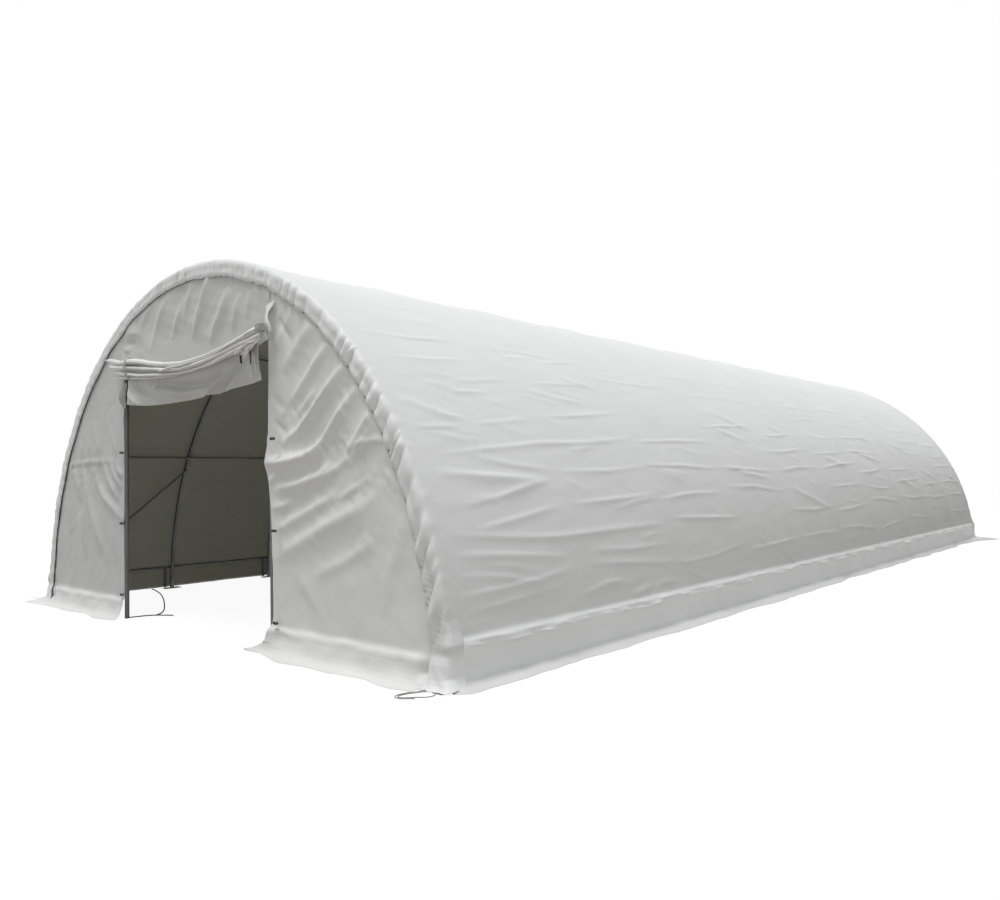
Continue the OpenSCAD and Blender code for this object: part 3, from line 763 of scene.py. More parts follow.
def gathered_hem(end, way, end_y, deep_side, seed, pleats_drawn):
    """The puckered hem round one end; way is -1 at the front and 1 at the rear."""
    places, swells = pucker_places(seed)
    profile = np.array(hem_profile)
    run = run_along(profile)
    run /= run[-1]

    def shape(u, v):
        bent = np.interp(u, [0, foot_share, 1 - foot_share, 1], [-1, 0, 1, 2])
        angle = arch_foot + (math.pi - 2 * arch_foot) * np.clip(bent, 0, 1)
        fall = np.clip(-bent, 0, 1) + np.clip(bent - 1, 0, 1)
        off_y = np.interp(v, run, profile[:, 0])
        drop = np.interp(v, run, profile[:, 1])
        from_edge = ramp(cover_radius + drop, hem_edge, hem_edge + hem_deep)
        right = np.clip(np.cos(angle) * deep_side, 0, 1)
        slant = 0.012 + 0.085 * np.clip(1.25 - angle * 1.9, 0, 1) * (deep_side > 0)
        slant = np.where(angle > 1.57, -0.02 - 0.03 * np.clip(angle - 2.4, 0, 1), slant)
        at = angle - slant * from_edge
        index = np.clip(np.searchsorted(places, at) - 1, 0, len(places) - 2)
        rounded = np.sin(math.pi * ramp(at, places[index], places[index + 1]))
        swell = swells[index] * rounded ** (0.70 + 0.25 * right)
        gather = np.interp(v, [0, 0.28, 0.46, 0.62, 0.85, 0.95, 1], [0, 0.05, 0.40, 0.80, 1.0, 0.75, 0.35])
        calm = ramp(np.minimum(angle, math.pi - angle), arch_foot, arch_foot + 0.05)
        out = hem_pull * (0.62 + 0.75 * right) * (swell - 0.45) * gather * (1 - fall) * calm
        small = (0.0030 + 0.0022 * right ** 2) * calm
        out += small * waves(at * hem_edge, v * 0.3, seed + 3, 14, 0.11) * gather
        edge = 0.010 * waves(angle * hem_edge, angle, seed + 5, 8, 1.1) - 0.014 * rounded * swells[index]
        radius = cover_radius + drop + edge * (1 - from_edge) - 0.005 * gather * (1 - swell)
        radius -= 0.35 * out * np.interp(v, [0, 0.45, 0.58, 1], [0, 1, 0.3, 0])
        brow_waves = waves(angle * hem_edge, v * 0.1, seed + 9, 12, 0.16)
        radius += tent(v, 0.42, 0.24) * (1 - fall) * (0.0030 * brow_waves + 0.004 * (swell - 0.5))
        y = end_y - way * off_y + way * out
        x, z = radius * np.cos(angle), radius * np.sin(angle)
        z = z - fall * (z - foot_height) * np.interp(v, [0, 0.4, 0.6], [0.93, 0.96, 1])
        front = ramp(v, 0.40, 0.60)
        ground = np.interp(z, [0.017, 0.030, 0.055, 0.095, 0.150, 0.220, 0.300],
                           [0.124, 0.100, 0.076, 0.056, 0.044, 0.034, 0.010])
        crinkle = 1 + 0.10 * np.sin(31 * v + 9 * fall + seed)
        y = y + way * ground * crinkle * front
        over_rail = np.interp(z, [0.0, 0.02, 0.05, 0.08, 0.11, 0.30, 0.35, 0.385, 0.42, 0.50, 0.60],
                              [0.112, 0.105, 0.080, 0.060, 0.042, 0.038, 0.044, 0.052, 0.042, 0.016, 0])
        over_rail = over_rail * ramp(v, 0.76, 0.60) * ramp(v, 0, 1 / 12)
        y = y + way * 0.018 * hump(z, 0.38, 0.06) * tent(v, 0.62, 0.2)
        spread = 0.045 * fall ** 3 * front * (2 * from_edge - 1)
        return x + np.sign(x) * (over_rail + spread), y, z

    cloth(end + "_hem_gathered", hem_flat, pleats_drawn, 18, shape, (0, way * 60, 4), [white_cloth],
          [end + "_hem"])


gathered_hem("front", -1, front_hoop_y, 1, 101, 1120)
gathered_hem("rear", 1, rear_hoop_y, -1, 207, 460)

hem_fibre = rope_fibre("black_hem_rope", (0.050, 0.050, 0.052), (0.022, 0.022, 0.024))
hem_rope_thick = 0.009
for end, way, end_y, edge_seed in (("front", -1, front_hoop_y, 106), ("rear", 1, rear_hoop_y, 212)):
    angle = np.linspace(arch_foot, math.pi - arch_foot, 620)
    sunk = np.clip(0.72 - angle * 1.1, 0, 1) * (way < 0)
    radius = hem_edge - 0.007 + 0.008 * waves(angle * hem_edge, angle, edge_seed, 8, 1.1)
    radius += 0.003 * np.sin(angle * 31) + 0.016 * sunk
    y = end_y + way * (0.048 - 0.006 * sunk + 0.0025 * np.sin(angle * 53))
    line = np.stack([radius * np.cos(angle), y, radius * np.sin(angle)], axis=1)
    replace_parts(laid_rope(end + "_hem_draw_rope", line, hem_rope_thick, hem_fibre, 9), end + "_hem_rope")


# ---- Front walls ----
# Three panels of the same cloth close the front beside and above the doorway. Each side panel is
# one sheet from the hem down to a flap that lies out on the ground, laced to its door post, and
# its spare cloth hangs in long slanting folds.
wall_front = front_hoop_y - 0.0335
wall_thick = 0.003
wall_top = 4.05
wall_foot = 0.30
wall_foot_reach = 4.44
under_hem = 4.46
side_wall_flat = (2.7, 4.4)
side_hanging_share = 0.82
wall_cloth = woven_cloth("end_wall_cloth", (0.80, 0.80, 0.785), (0.735, 0.735, 0.72),
                         (0.70, 0.68, 0.62), 0.48, 0.7)
# A darker copy of the wall cloth, for the left and top panels: painted shade over the whole panel, deepest
# low down.
shaded_wall_cloth = woven_cloth("painted_shade_wall_cloth", (0.80, 0.80, 0.785), (0.735, 0.735, 0.72),
                              (0.50, 0.50, 0.49), 0.50, 0.8, 1.04, 12.0)
# The flap from the foot of the wall, as (reach outward, height)
flap_profile = [
    (0.000, 0.300), (0.012, 0.276), (0.034, 0.252), (0.044, 0.226), (0.046, 0.190), (0.054, 0.148),
    (0.068, 0.104), (0.088, 0.062), (0.116, 0.030), (0.150, 0.012), (0.182, 0.007), (0.215, 0.006),
]
# The edge at the post, as (height, distance from the middle)
right_edge = [(0.17, 1.790), (0.35, 1.878), (0.86, 1.874), (1.2, 1.862), (1.6, 1.835), (1.85, 1.800),
              (2.08, 1.752), (2.25, 1.780), (2.4, 1.800), (2.8, 1.815), (3.3, 1.820), (4.1, 1.825)]
# Folds as (width, rise, lean, [(distance from the middle, height), ...])
right_folds = [
    (0.10, 0.034, 0.3, [(2.98, 3.28), (2.68, 3.03), (2.50, 2.87), (2.26, 2.68)]),
    (0.09, 0.052, 0.3, [(3.26, 3.06), (2.87, 2.72), (2.66, 2.54), (2.42, 2.38), (2.03, 2.24)]),
    (0.09, 0.042, 0.3, [(3.46, 2.82), (3.06, 2.45), (2.86, 2.26), (2.55, 2.09)]),
    (0.08, 0.034, 0.2, [(3.70, 2.62), (3.40, 2.28), (3.15, 2.06)]),
    (0.10, 0.075, 0.35, [(2.82, 2.20), (2.62, 2.12), (2.35, 2.07), (2.10, 2.05), (1.72, 2.06)]),
    (0.09, 0.046, 0.3, [(3.02, 2.04), (2.74, 1.89), (2.42, 1.81), (1.90, 1.75)]),
    (0.06, 0.022, 0.2, [(3.32, 2.10), (2.98, 1.93), (2.70, 1.83)]),
    (0.035, 0.015, 0.0, [(3.52, 1.85), (3.28, 1.74), (3.04, 1.64)]),
    (0.10, 0.030, 0.3, [(3.10, 1.72), (2.68, 1.57), (2.30, 1.44), (1.90, 1.29)]),
    (0.14, 0.034, 0.2, [(3.75, 1.72), (3.40, 1.57), (2.84, 1.37), (2.30, 1.16), (1.88, 0.98)]),
    (0.040, 0.015, 0.0, [(4.05, 2.19), (3.80, 2.20), (3.60, 2.21), (3.40, 2.18), (3.22, 2.14)]),
    (0.07, -0.024, 0.0, [(1.84, 2.82), (1.95, 2.72), (2.10, 2.59)]),
    (0.07, -0.024, 0.0, [(1.90, 2.52), (2.04, 2.41), (2.18, 2.32)]),
    (0.12, 0.024, 0.2, [(2.68, 3.52), (2.37, 3.25), (2.10, 3.02)]),
    (0.12, 0.018, 0.2, [(2.30, 3.66), (2.10, 3.46), (1.98, 3.28)]),
    (0.07, -0.020, 0.0, [(2.02, 3.62), (2.18, 3.42), (2.26, 3.30)]),
    (0.06, 0.018, 0.2, [(3.62, 2.38), (3.40, 2.16), (3.24, 1.98)]),
    (0.05, 0.016, 0.2, [(2.72, 2.78), (2.50, 2.62), (2.30, 2.52)]),
    (0.10, 0.016, 0.0, [(3.60, 1.25), (3.10, 1.02), (2.60, 0.86)]),
    (0.16, 0.014, 0.0, [(4.05, 1.50), (3.80, 0.95), (3.70, 0.55)]),
    (0.14, 0.012, 0.0, [(2.30, 0.95), (2.60, 0.62), (2.80, 0.42)]),
    (0.05, 0.020, 0.2, [(2.02, 1.94), (1.92, 1.88), (1.80, 1.84)]),
    (0.06, 0.022, 0.2, [(2.35, 1.66), (2.10, 1.58), (1.84, 1.55)]),
]
left_edge = [(0.17, 1.815), (0.35, 1.825), (1.3, 1.828), (2.0, 1.822), (2.6, 1.830), (3.3, 1.830),
             (4.1, 1.830)]
left_folds = [
    (0.035, 0.016, 0.0, [(4.05, 2.20), (3.60, 2.19), (3.00, 2.20), (2.40, 2.19), (1.80, 2.17)]),
    (0.09, 0.026, 0.2, [(3.60, 2.14), (3.43, 1.88), (3.28, 1.62)]),
    (0.10, 0.036, 0.2, [(3.26, 2.18), (3.01, 1.67), (2.80, 1.29), (2.58, 0.86)]),
    (0.08, 0.036, 0.2, [(2.89, 2.20), (2.67, 1.87), (2.43, 1.67), (2.09, 1.50), (1.80, 1.32)]),
    (0.06, 0.034, 0.2, [(2.52, 2.20), (2.31, 1.92), (2.00, 1.64)]),
    (0.05, 0.034, 0.0, [(2.24, 2.15), (2.08, 1.96), (1.88, 1.80)]),
    (0.05, 0.030, 0.0, [(2.06, 2.16), (1.98, 2.04), (1.84, 1.96)]),
    (0.07, 0.020, 0.0, [(2.40, 2.85), (2.20, 2.51), (2.00, 2.22)]),
    (0.07, 0.014, 0.0, [(2.90, 2.80), (2.67, 2.38), (2.58, 2.22)]),
    (0.06, 0.012, 0.0, [(3.10, 2.60), (3.02, 2.40), (2.98, 2.22)]),
    (0.07, 0.014, 0.0, [(3.36, 2.54), (3.30, 2.36), (3.27, 2.22)]),
    (0.10, 0.022, 0.0, [(2.95, 1.68), (2.67, 1.17), (2.34, 0.70)]),
    (0.10, 0.018, 0.0, [(3.40, 1.48), (3.24, 1.05), (3.10, 0.75)]),
    (0.10, 0.014, 0.0, [(2.40, 1.50), (2.20, 1.10), (2.05, 0.70)]),
    (0.14, 0.012, 0.0, [(3.90, 1.60), (3.80, 1.10), (3.70, 0.60)]),
]


def fold_field(a, b, folds, wider=1.0, higher=1.0):
    """The height of all of a sheet's folds at every place on it."""
    lift = np.zeros_like(a)
    for width, rise, lean, path in folds:
        add_fold(lift, a, b, path, wider * width, higher * rise, lean)
    return lift


def fall_to_flap(v, hanging_share, top):
    """How a wall hangs to its foot and lies out as a flap: height, reach outward, share of the flap."""
    flap = np.array(flap_profile)
    run = run_along(flap)
    ground = np.interp(v, [0, hanging_share, 1], [0, 0, 1])
    out, flap_z = (np.interp(ground * run[-1], run, flap[:, axis]) for axis in (0, 1))
    hanging = np.interp(v, [0, hanging_share, 1], [top, wall_foot, wall_foot])
    return hanging - wall_foot + flap_z, out, ground


def rippled_flap(x, z, out, ground, edge_seed, ripple_seed):
    """How far a flap's edge runs out and in, and its height with the ripples in it."""
    wavy = 1 + 0.16 * waves(x, x, edge_seed, 6, 1.1) * np.clip(ground * 1.6 - 0.3, 0, 1)
    z = z + 0.012 * waves(x, x, ripple_seed, 6, 0.9) * hump(z, 0.22, 0.06)
    raised = np.clip(waves(x, out, ripple_seed + 1, 8, 0.45), 0, 2)
    return wavy, z + 0.005 * raised * ramp(ground, 0.5, 1)


def front_wall(side_name, side, edge, folds, flap_start, flap_end, tongue, seed, material, across, down):
    """One wall panel beside the doorway with the ground flap it runs out into; side is 1 on the right
    and tongue is how far the flap's end reaches into the doorway."""
    edge = np.array(edge)

    def shape(u, v):
        z, out, ground = fall_to_flap(v, side_hanging_share, wall_top)
        start = np.interp(z, edge[:, 0], edge[:, 1])
        start = start - tongue * ramp(ground, 0.42, 0.87) ** 1.3 + 0.20 * tongue * ramp(ground, 0.88, 1)
        reach = np.sqrt(np.clip(under_hem ** 2 - np.maximum(z, wall_foot) ** 2, 0, None))
        reach = reach - (wall_foot_reach - flap_end) * ramp(ground, 0.25, 0.85) ** 1.4
        x = start + (reach - start) * u
        from_middle = np.hypot(x, z)
        lift = fold_field(x, z, folds, 0.85, 1.4)
        lift += 0.0045 * waves(x, z, seed, 9, 0.8) + 0.0014 * waves(x, z, seed + 1, 16, 0.22)
        crumpled = hump(z, 2.2, 0.95) * (1.3 + waves(x, z, seed + 2, 7, 0.7))
        lift += 0.0022 * crumpled * waves(x + 0.6 * z, z - 0.6 * x, seed + 4, 16, 0.12, 2.2)
        free = ramp(x, 1.86, 1.92) * ramp(from_middle, 4.40, 4.30)
        lift = np.where(lift > 0, lift * ramp(from_middle, 4.42, 4.30), lift * free)
        lift *= 1 - 0.85 * ramp(ground, 0.55, 0.95)
        bulge = 0.010 * waves(x, z, seed + 4, 7, 0.5) * hump(z, 0.19, 0.09)
        wavy, z = rippled_flap(x, z, out, ground, seed + 2, seed + 5)
        wavy -= 0.45 * ramp(x, flap_start + 0.5, flap_start) * (ground > 0.5) * (tongue > 0.1)
        out = out * (1 - 0.75 * ramp(x, 4.20, 4.30) * ramp(z, 0.06, 0.12))
        return side * x, wall_front - (out * wavy + lift + bulge), z

    cloth(f"front_{side_name}_wall_sheet", side_wall_flat, across, down, shape, (side * 3, -60, 6),
          [material, inner_cloth],
          [f"front_{side_name}_wall", f"front_{side_name}_skirt"], thick=wall_thick)


front_wall("right", 1, right_edge, right_folds, 1.45, 4.30, 0.36, 301, wall_cloth, 112, 176)
# The left panel takes the darker copy of the wall cloth: painted shade.
front_wall("left", -1, left_edge, left_folds, 1.80, 4.92, 0.02, 331, shaded_wall_cloth, 90, 136)

top_wall_flat = (3.74, 1.06)
top_wall_half = 1.868
top_wall_foot = 3.40
# Folds as (width, rise, lean, [(x, height), ...])
top_folds = [
    (0.12, 0.034, 0.2, [(0.58, 4.42), (0.38, 4.02), (0.16, 3.62)]),
    (0.12, 0.038, 0.2, [(1.02, 4.12), (0.80, 3.80), (0.56, 3.52)]),
    (0.10, 0.022, 0.2, [(-0.05, 4.20), (-0.42, 3.68)]),
    (0.09, 0.024, 0.0, [(1.24, 4.02), (1.08, 3.56)]),
    (0.08, 0.018, 0.0, [(0.16, 4.40), (0.02, 4.10), (-0.10, 3.84)]),
    (0.10, 0.018, 0.0, [(-0.50, 4.30), (-0.86, 3.86), (-1.0, 3.60)]),
    (0.09, 0.016, 0.0, [(1.48, 4.02), (1.40, 3.70)]),
    (0.09, 0.016, 0.0, [(-1.02, 4.24), (-1.34, 3.96)]),
    (0.07, -0.034, 0.0, [(-1.74, 3.82), (-1.58, 3.83), (-1.40, 3.81)]),
    (0.06, 0.016, 0.2, [(-1.80, 3.92), (-1.58, 3.93), (-1.34, 3.90), (-1.24, 3.82)]),
    (0.05, 0.018, 0.2, [(-1.86, 3.80), (-1.74, 3.72), (-1.56, 3.70)]),
]


def top_wall_shape(u, v):
    x = top_wall_half * (2 * u - 1)
    top = np.sqrt(under_hem ** 2 - x ** 2)
    z = top_wall_foot + (top - top_wall_foot) * v
    lift = fold_field(x, z, top_folds, 0.8, 1.3)
    lift += 0.006 * waves(x, z, 351, 9, 0.7) + 0.002 * waves(x, z, 352, 14, 0.2)
    lift += 0.008 * hump(np.abs(x), 1.84, 0.022)
    lift *= ramp(np.hypot(x, z), 4.43, 4.33)
    hollow = 0.030 * ramp(np.abs(x), 1.74, 1.69) * ramp(z, 3.68, 3.73)
    return x, wall_front - 0.004 - np.maximum(lift, -hollow), z


# The top panel takes the darker copy of the wall cloth: painted shade.
cloth("front_top_wall_sheet", top_wall_flat, 150, 44, top_wall_shape, (0, -60, 6),
      [shaded_wall_cloth, inner_cloth], ["front_top_wall"],
      thick=wall_thick)


# ---- Side skirts ----
# Low on each side the cover is folded into a pocket round its rail, and runs on as a free skirt:
# straight down, creased where it meets the ground, and out over the ground, where earth or
# sandbags hold it. At two corners it is pulled out to a tip.
rail_low, rail_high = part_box("right_cover_rail")
rail_x = (rail_low.x + rail_high.x) / 2
skirt_flat = (19.9, 0.78)
skirt_past_hoop = 0.085
pocket_past_hoop = 0.010
# From the cover to the skirt's free edge, as (height, distance out from the rail); the first rows
# follow the cover
skirt_profile = [
    (0.600, None), (0.560, None), (0.520, None), (0.485, None), (0.455, None), (0.430, None),
    (0.405, 0.0335), (0.385, 0.0400), (0.366, 0.0465), (0.350, 0.0510), (0.336, 0.0520), (0.322, 0.0480),
    (0.300, 0.0380), (0.265, 0.0320), (0.220, 0.0260), (0.175, 0.0230), (0.130, 0.0225), (0.095, 0.0245),
    (0.072, 0.0290), (0.058, 0.0400), (0.050, 0.0600), (0.040, 0.0900), (0.026, 0.1300), (0.013, 0.1740),
    (0.007, 0.2150),
]
# The skirt cloth carries the same painted shade, darker low down and toward the rear, except in a band from
# about 0.1 m to 0.36 m up.
skirt_cloth = woven_cloth("skirt_cloth", (0.865, 0.87, 0.87), (0.81, 0.815, 0.815),
                          (0.50, 0.502, 0.49), 0.50, 1.5, 0.60, 2.6, splashed=0.46, unshaded_band=(0.23, 0.13))


def skirt_creases(seed, half):
    """Short crumples along the pocket and the ground, as (width, rise, lean, points of (y, row))."""
    draw = np.random.default_rng(seed)
    plan = []
    for width, deep, longs, least_rise, rows, steps in (
        (0.026, 0.020, (0.10, 0.42), 0.4, (0.26, 0.42), (0.05, 0.24)),
        (0.032, 0.012, (0.15, 0.60), -0.3, (0.70, 0.97), (0.12, 0.40)),
    ):
        y = -half
        while y < half:
            long, slant, rise = draw.uniform(*longs), draw.uniform(-1, 1), draw.uniform(least_rise, 1)
            row = draw.uniform(*rows)
            plan.append((width, deep * rise, 0.3, [(y, row - 0.05 * slant), (y + long, row + 0.05 * slant)]))
            y += draw.uniform(*steps)
    return plan


def side_skirt(side_name, side, tip_end, tip_pull, seed, columns):
    """The pocket and skirt along one side; tip_end is the end (-1 front, 1 rear) drawn out to a tip."""
    heights = np.array([z for z, _ in skirt_profile])
    rows = np.linspace(0, 1, len(heights))
    hanging_rows = [(row, out) for row, (_, out) in zip(rows, skirt_profile) if out is not None]
    last_on_cover, first_hanging = rows[5], rows[6]
    half = skirt_past_hoop - front_hoop_y
    pocket_end = pocket_past_hoop - front_hoop_y

    def shape(u, v):
        y = -half + 2 * half * u
        z = np.interp(v, rows, heights)
        angle = np.arcsin(z / cover_radius)
        side_angle = angle if side > 0 else math.pi - angle
        over = np.clip(np.abs(y), 0, -cover_end) * np.sign(y)
        on_cover = np.sqrt((cover_radius + cover_lift(side_angle, over)) ** 2 - z ** 2) - rail_x
        on_cover += np.interp(z, [0.40, 0.44, 0.48, 0.54, 0.58, 0.60],
                              [0.010, 0.0045, 0.0025, 0.0014, -0.003, -0.009])
        hanging = np.interp(v, *zip(*hanging_rows))
        share = ramp(v, last_on_cover, first_hanging)
        out = on_cover * (1 - share) + hanging * share
        flat = ramp(v, 0.76, 0.96)
        pocket = ramp(v, 0.14, 0.20)
        lift = fold_field(y, v, skirt_creases(seed, half))
        lift *= np.maximum(ramp(np.abs(y), 9.80, 9.60), 0.15)
        out += lift * pocket * (1 - flat)
        z = z + lift * flat * 0.8 + 0.010 * waves(y, y, seed + 5, 7, 1.3) * hump(v, 0.38, 0.08)
        wide = 0.030 * waves(y, y, seed, 7, 2.6) + 0.006 * waves(y, y, seed + 6, 9, 0.5)
        tip = ramp(tip_end * y, half - 1.3, half) ** 1.5
        near_end = ramp(np.abs(y), half - 0.16, half)
        out += (wide + tip_pull * tip) * flat - 0.12 * flat * near_end ** 2 * (tip < 0.5)
        out += 0.004 * waves(y, v, seed + 1, 10, 0.6) * pocket
        sunk = 0.45 + 0.55 * waves(y, y, seed + 8, 9, 0.8)
        out -= 0.019 * np.clip(sunk, 0, 1.3) * hump(z, 0.345, 0.038)
        tuck = ramp(np.abs(y), 9.86, 9.66)
        out = np.where((v > last_on_cover) & (z > 0.10), 0.010 + (out - 0.010) * tuck, out)
        past = np.maximum(np.abs(y) - pocket_end, 0)
        y = np.where(past > 0, np.sign(y) * (pocket_end + past * flat), y)
        return side * (rail_x + out), y, z

    cloth(side_name + "_skirt_sheet", skirt_flat, columns, 34, shape, (side * 60, 0, 8),
          [skirt_cloth, inner_cloth], [side_name + "_skirt"],
          thick=0.003)


side_skirt("right", 1, 1, 0.40, 401, 480)
side_skirt("left", -1, -1, 0.61, 431, 260)


# ---- Rear wall ----
# The rear is closed by one wide panel of the same cloth that hangs from the rear hem, with a seam
# across it at half height. Its foot runs out into a flap on the ground.
rear_wall_flat = (8.92, 4.75)
rear_wall_top = 4.40
rear_hanging_share = 0.85
# Folds as (width, rise, lean, [(x, height), ...])
rear_folds = [
    (0.035, 0.012, 0.0, [(-4.0, 2.20), (-2.0, 2.19), (0.0, 2.20), (2.0, 2.19), (4.0, 2.20)]),
    (0.10, 0.030, 0.2, [(-3.7, 2.5), (-3.0, 2.1), (-2.3, 1.8), (-1.9, 1.7)]),
    (0.10, 0.028, 0.2, [(-3.2, 3.0), (-2.6, 2.5), (-2.0, 2.2)]),
    (0.10, 0.030, 0.2, [(3.6, 2.6), (3.0, 2.2), (2.4, 1.9), (1.9, 1.8)]),
    (0.10, 0.026, 0.2, [(3.1, 3.1), (2.6, 2.7), (2.1, 2.5)]),
    (0.12, 0.026, 0.0, [(-1.2, 4.2), (-0.9, 3.7), (-0.7, 3.3)]),
    (0.12, 0.026, 0.0, [(1.3, 4.1), (0.9, 3.7), (0.8, 3.4)]),
    (0.12, 0.022, 0.0, [(0.1, 4.4), (0.0, 4.0), (0.1, 3.7)]),
    (0.12, 0.020, 0.0, [(-1.5, 3.3), (-0.6, 2.7), (0.2, 2.5)]),
    (0.12, 0.020, 0.0, [(1.4, 3.2), (0.8, 2.8), (0.3, 2.6)]),
    (0.14, 0.018, 0.0, [(-2.9, 1.6), (-2.5, 1.0), (-2.3, 0.6)]),
    (0.14, 0.018, 0.0, [(-0.9, 1.9), (-0.6, 1.2), (-0.5, 0.6)]),
    (0.14, 0.018, 0.0, [(0.8, 2.0), (0.7, 1.3), (0.9, 0.7)]),
    (0.14, 0.018, 0.0, [(3.0, 1.8), (2.6, 1.2), (2.5, 0.7)]),
    (0.12, 0.014, 0.0, [(-3.9, 1.5), (-3.5, 0.9)]),
    (0.12, 0.014, 0.0, [(3.9, 1.6), (3.6, 0.9)]),
]


def rear_wall_shape(u, v):
    z, out, ground = fall_to_flap(v, rear_hanging_share, rear_wall_top)
    reach = np.sqrt(under_hem ** 2 - np.maximum(z, wall_foot) ** 2)
    x = reach * (2 * u - 1) * (1 - 0.03 * ground)
    lift = fold_field(x, z, rear_folds)
    lift += 0.006 * waves(x, z, 471, 10, 0.9) + 0.002 * waves(x, z, 472, 16, 0.25)
    lift = np.maximum(lift, -0.001) * ramp(np.hypot(x, z), 4.42, 4.30)
    lift *= 1 - 0.85 * ramp(ground, 0.55, 0.95)
    wavy, z = rippled_flap(x, z, out, ground, 473, 474)
    return x, -wall_front + out * wavy + lift, z


cloth("rear_wall_sheet", rear_wall_flat, 124, 76, rear_wall_shape, (0, 60, 6),
      [white_cloth, inner_cloth], ["rear_wall", "rear_skirt"],
      thick=wall_thick)


# ---- Rolled door curtain ----
# The door is one sheet of cloth, rolled up by hand from below and tied at two places. It was
# gathered in thick uneven folds round a core, sags between its ties, splays at its left end, is
# bunched at its right end, and its last turn hangs free as a flap.
roll_low, roll_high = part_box("door_curtain_roll")
roll_y = (roll_low.y + roll_high.y) / 2
curtain_cloth = woven_cloth("door_curtain_cloth", (0.87, 0.87, 0.85), (0.80, 0.80, 0.77),
                            (0.62, 0.60, 0.54), 0.50, 1.6)
# A darker copy of the curtain cloth, for the hanging flap's seen face: painted shade under the roll.
shaded_curtain_cloth = woven_cloth("painted_shade_curtain_cloth", (0.62, 0.62, 0.595), (0.55, 0.55, 0.525),
                             (0.56, 0.54, 0.48), 0.52, 1.2)
# The core's line, as (x, z, half its height)
core_line = [(-1.93, 3.540, 0.050), (-1.60, 3.435, 0.095), (-1.01, 3.375, 0.115), (-0.38, 3.305, 0.090),
             (0.09, 3.270, 0.070), (0.42, 3.268, 0.068), (0.83, 3.290, 0.068), (1.24, 3.335, 0.070),
             (1.54, 3.380, 0.078), (1.80, 3.430, 0.085), (1.93, 3.450, 0.070)]
# Each fold: how far it stands out from the door, how deep it is, its turns of cloth, and its line
# as (x, z, half its height)
curtain_folds = [
    ("curtain_upper_fold", -0.034, 0.056, 2.2,
     [(-2.04, 3.600, 0.026), (-1.90, 3.575, 0.038), (-1.608, 3.512, 0.045), (-1.30, 3.500, 0.047),
      (-1.014, 3.470, 0.044), (-0.68, 3.405, 0.040), (-0.38, 3.358, 0.037), (0.093, 3.318, 0.035),
      (0.392, 3.322, 0.036), (0.819, 3.345, 0.038), (1.223, 3.391, 0.039), (1.542, 3.442, 0.040),
      (1.80, 3.490, 0.042), (1.93, 3.505, 0.034)]),
    ("curtain_front_fold", -0.052, 0.046, 1.8,
     [(-1.93, 3.500, 0.018), (-1.76, 3.468, 0.026), (-1.375, 3.424, 0.032), (-0.796, 3.348, 0.029),
      (-0.45, 3.306, 0.026), (-0.15, 3.262, 0.026), (0.132, 3.238, 0.025), (0.575, 3.264, 0.028),
      (0.992, 3.303, 0.028), (1.386, 3.357, 0.028), (1.667, 3.389, 0.027), (1.95, 3.428, 0.020)]),
    ("curtain_lower_fold", -0.044, 0.040, 1.8,
     [(-1.86, 3.420, 0.016), (-1.68, 3.384, 0.024), (-1.387, 3.336, 0.030), (-0.938, 3.278, 0.028),
      (-0.43, 3.232, 0.026), (0.045, 3.200, 0.018), (0.42, 3.207, 0.020), (0.846, 3.238, 0.024),
      (1.248, 3.288, 0.026), (1.504, 3.326, 0.026), (1.75, 3.361, 0.024), (1.94, 3.398, 0.015)]),
    ("curtain_under_fold", -0.024, 0.034, 1.6,
     [(-1.80, 3.352, 0.012), (-1.62, 3.322, 0.018), (-1.284, 3.276, 0.022), (-0.841, 3.232, 0.021),
      (-0.462, 3.205, 0.016), (-0.141, 3.190, 0.010), (0.05, 3.190, 0.004)]),
    ("curtain_short_fold", -0.084, 0.020, 1.4,
     [(1.47, 3.262, 0.004), (1.56, 3.292, 0.014), (1.66, 3.334, 0.016), (1.76, 3.356, 0.015),
      (1.88, 3.362, 0.006)]),
    ("curtain_pulled_fold", -0.074, 0.018, 1.4,
     [(1.58, 3.248, 0.004), (1.67, 3.282, 0.013), (1.76, 3.318, 0.014), (1.86, 3.338, 0.012),
      (1.93, 3.352, 0.004)]),
    ("curtain_stray_fold", -0.090, 0.020, 1.4,
     [(-0.34, 3.262, 0.004), (-0.20, 3.276, 0.016), (-0.02, 3.286, 0.018), (0.24, 3.288, 0.012),
      (0.46, 3.298, 0.003)]),
]


def eased(where, at, values, soften=40):
    """A curve through values at given places, with its corners rounded off."""
    fine = np.linspace(at[0], at[-1], 401)
    rough = np.interp(fine, at, values)
    ends = np.pad(rough, soften, mode="reflect", reflect_type="odd")
    window = np.hanning(2 * soften + 1)
    return np.interp(where, fine, np.convolve(ends, window / window.sum(), "valid"))


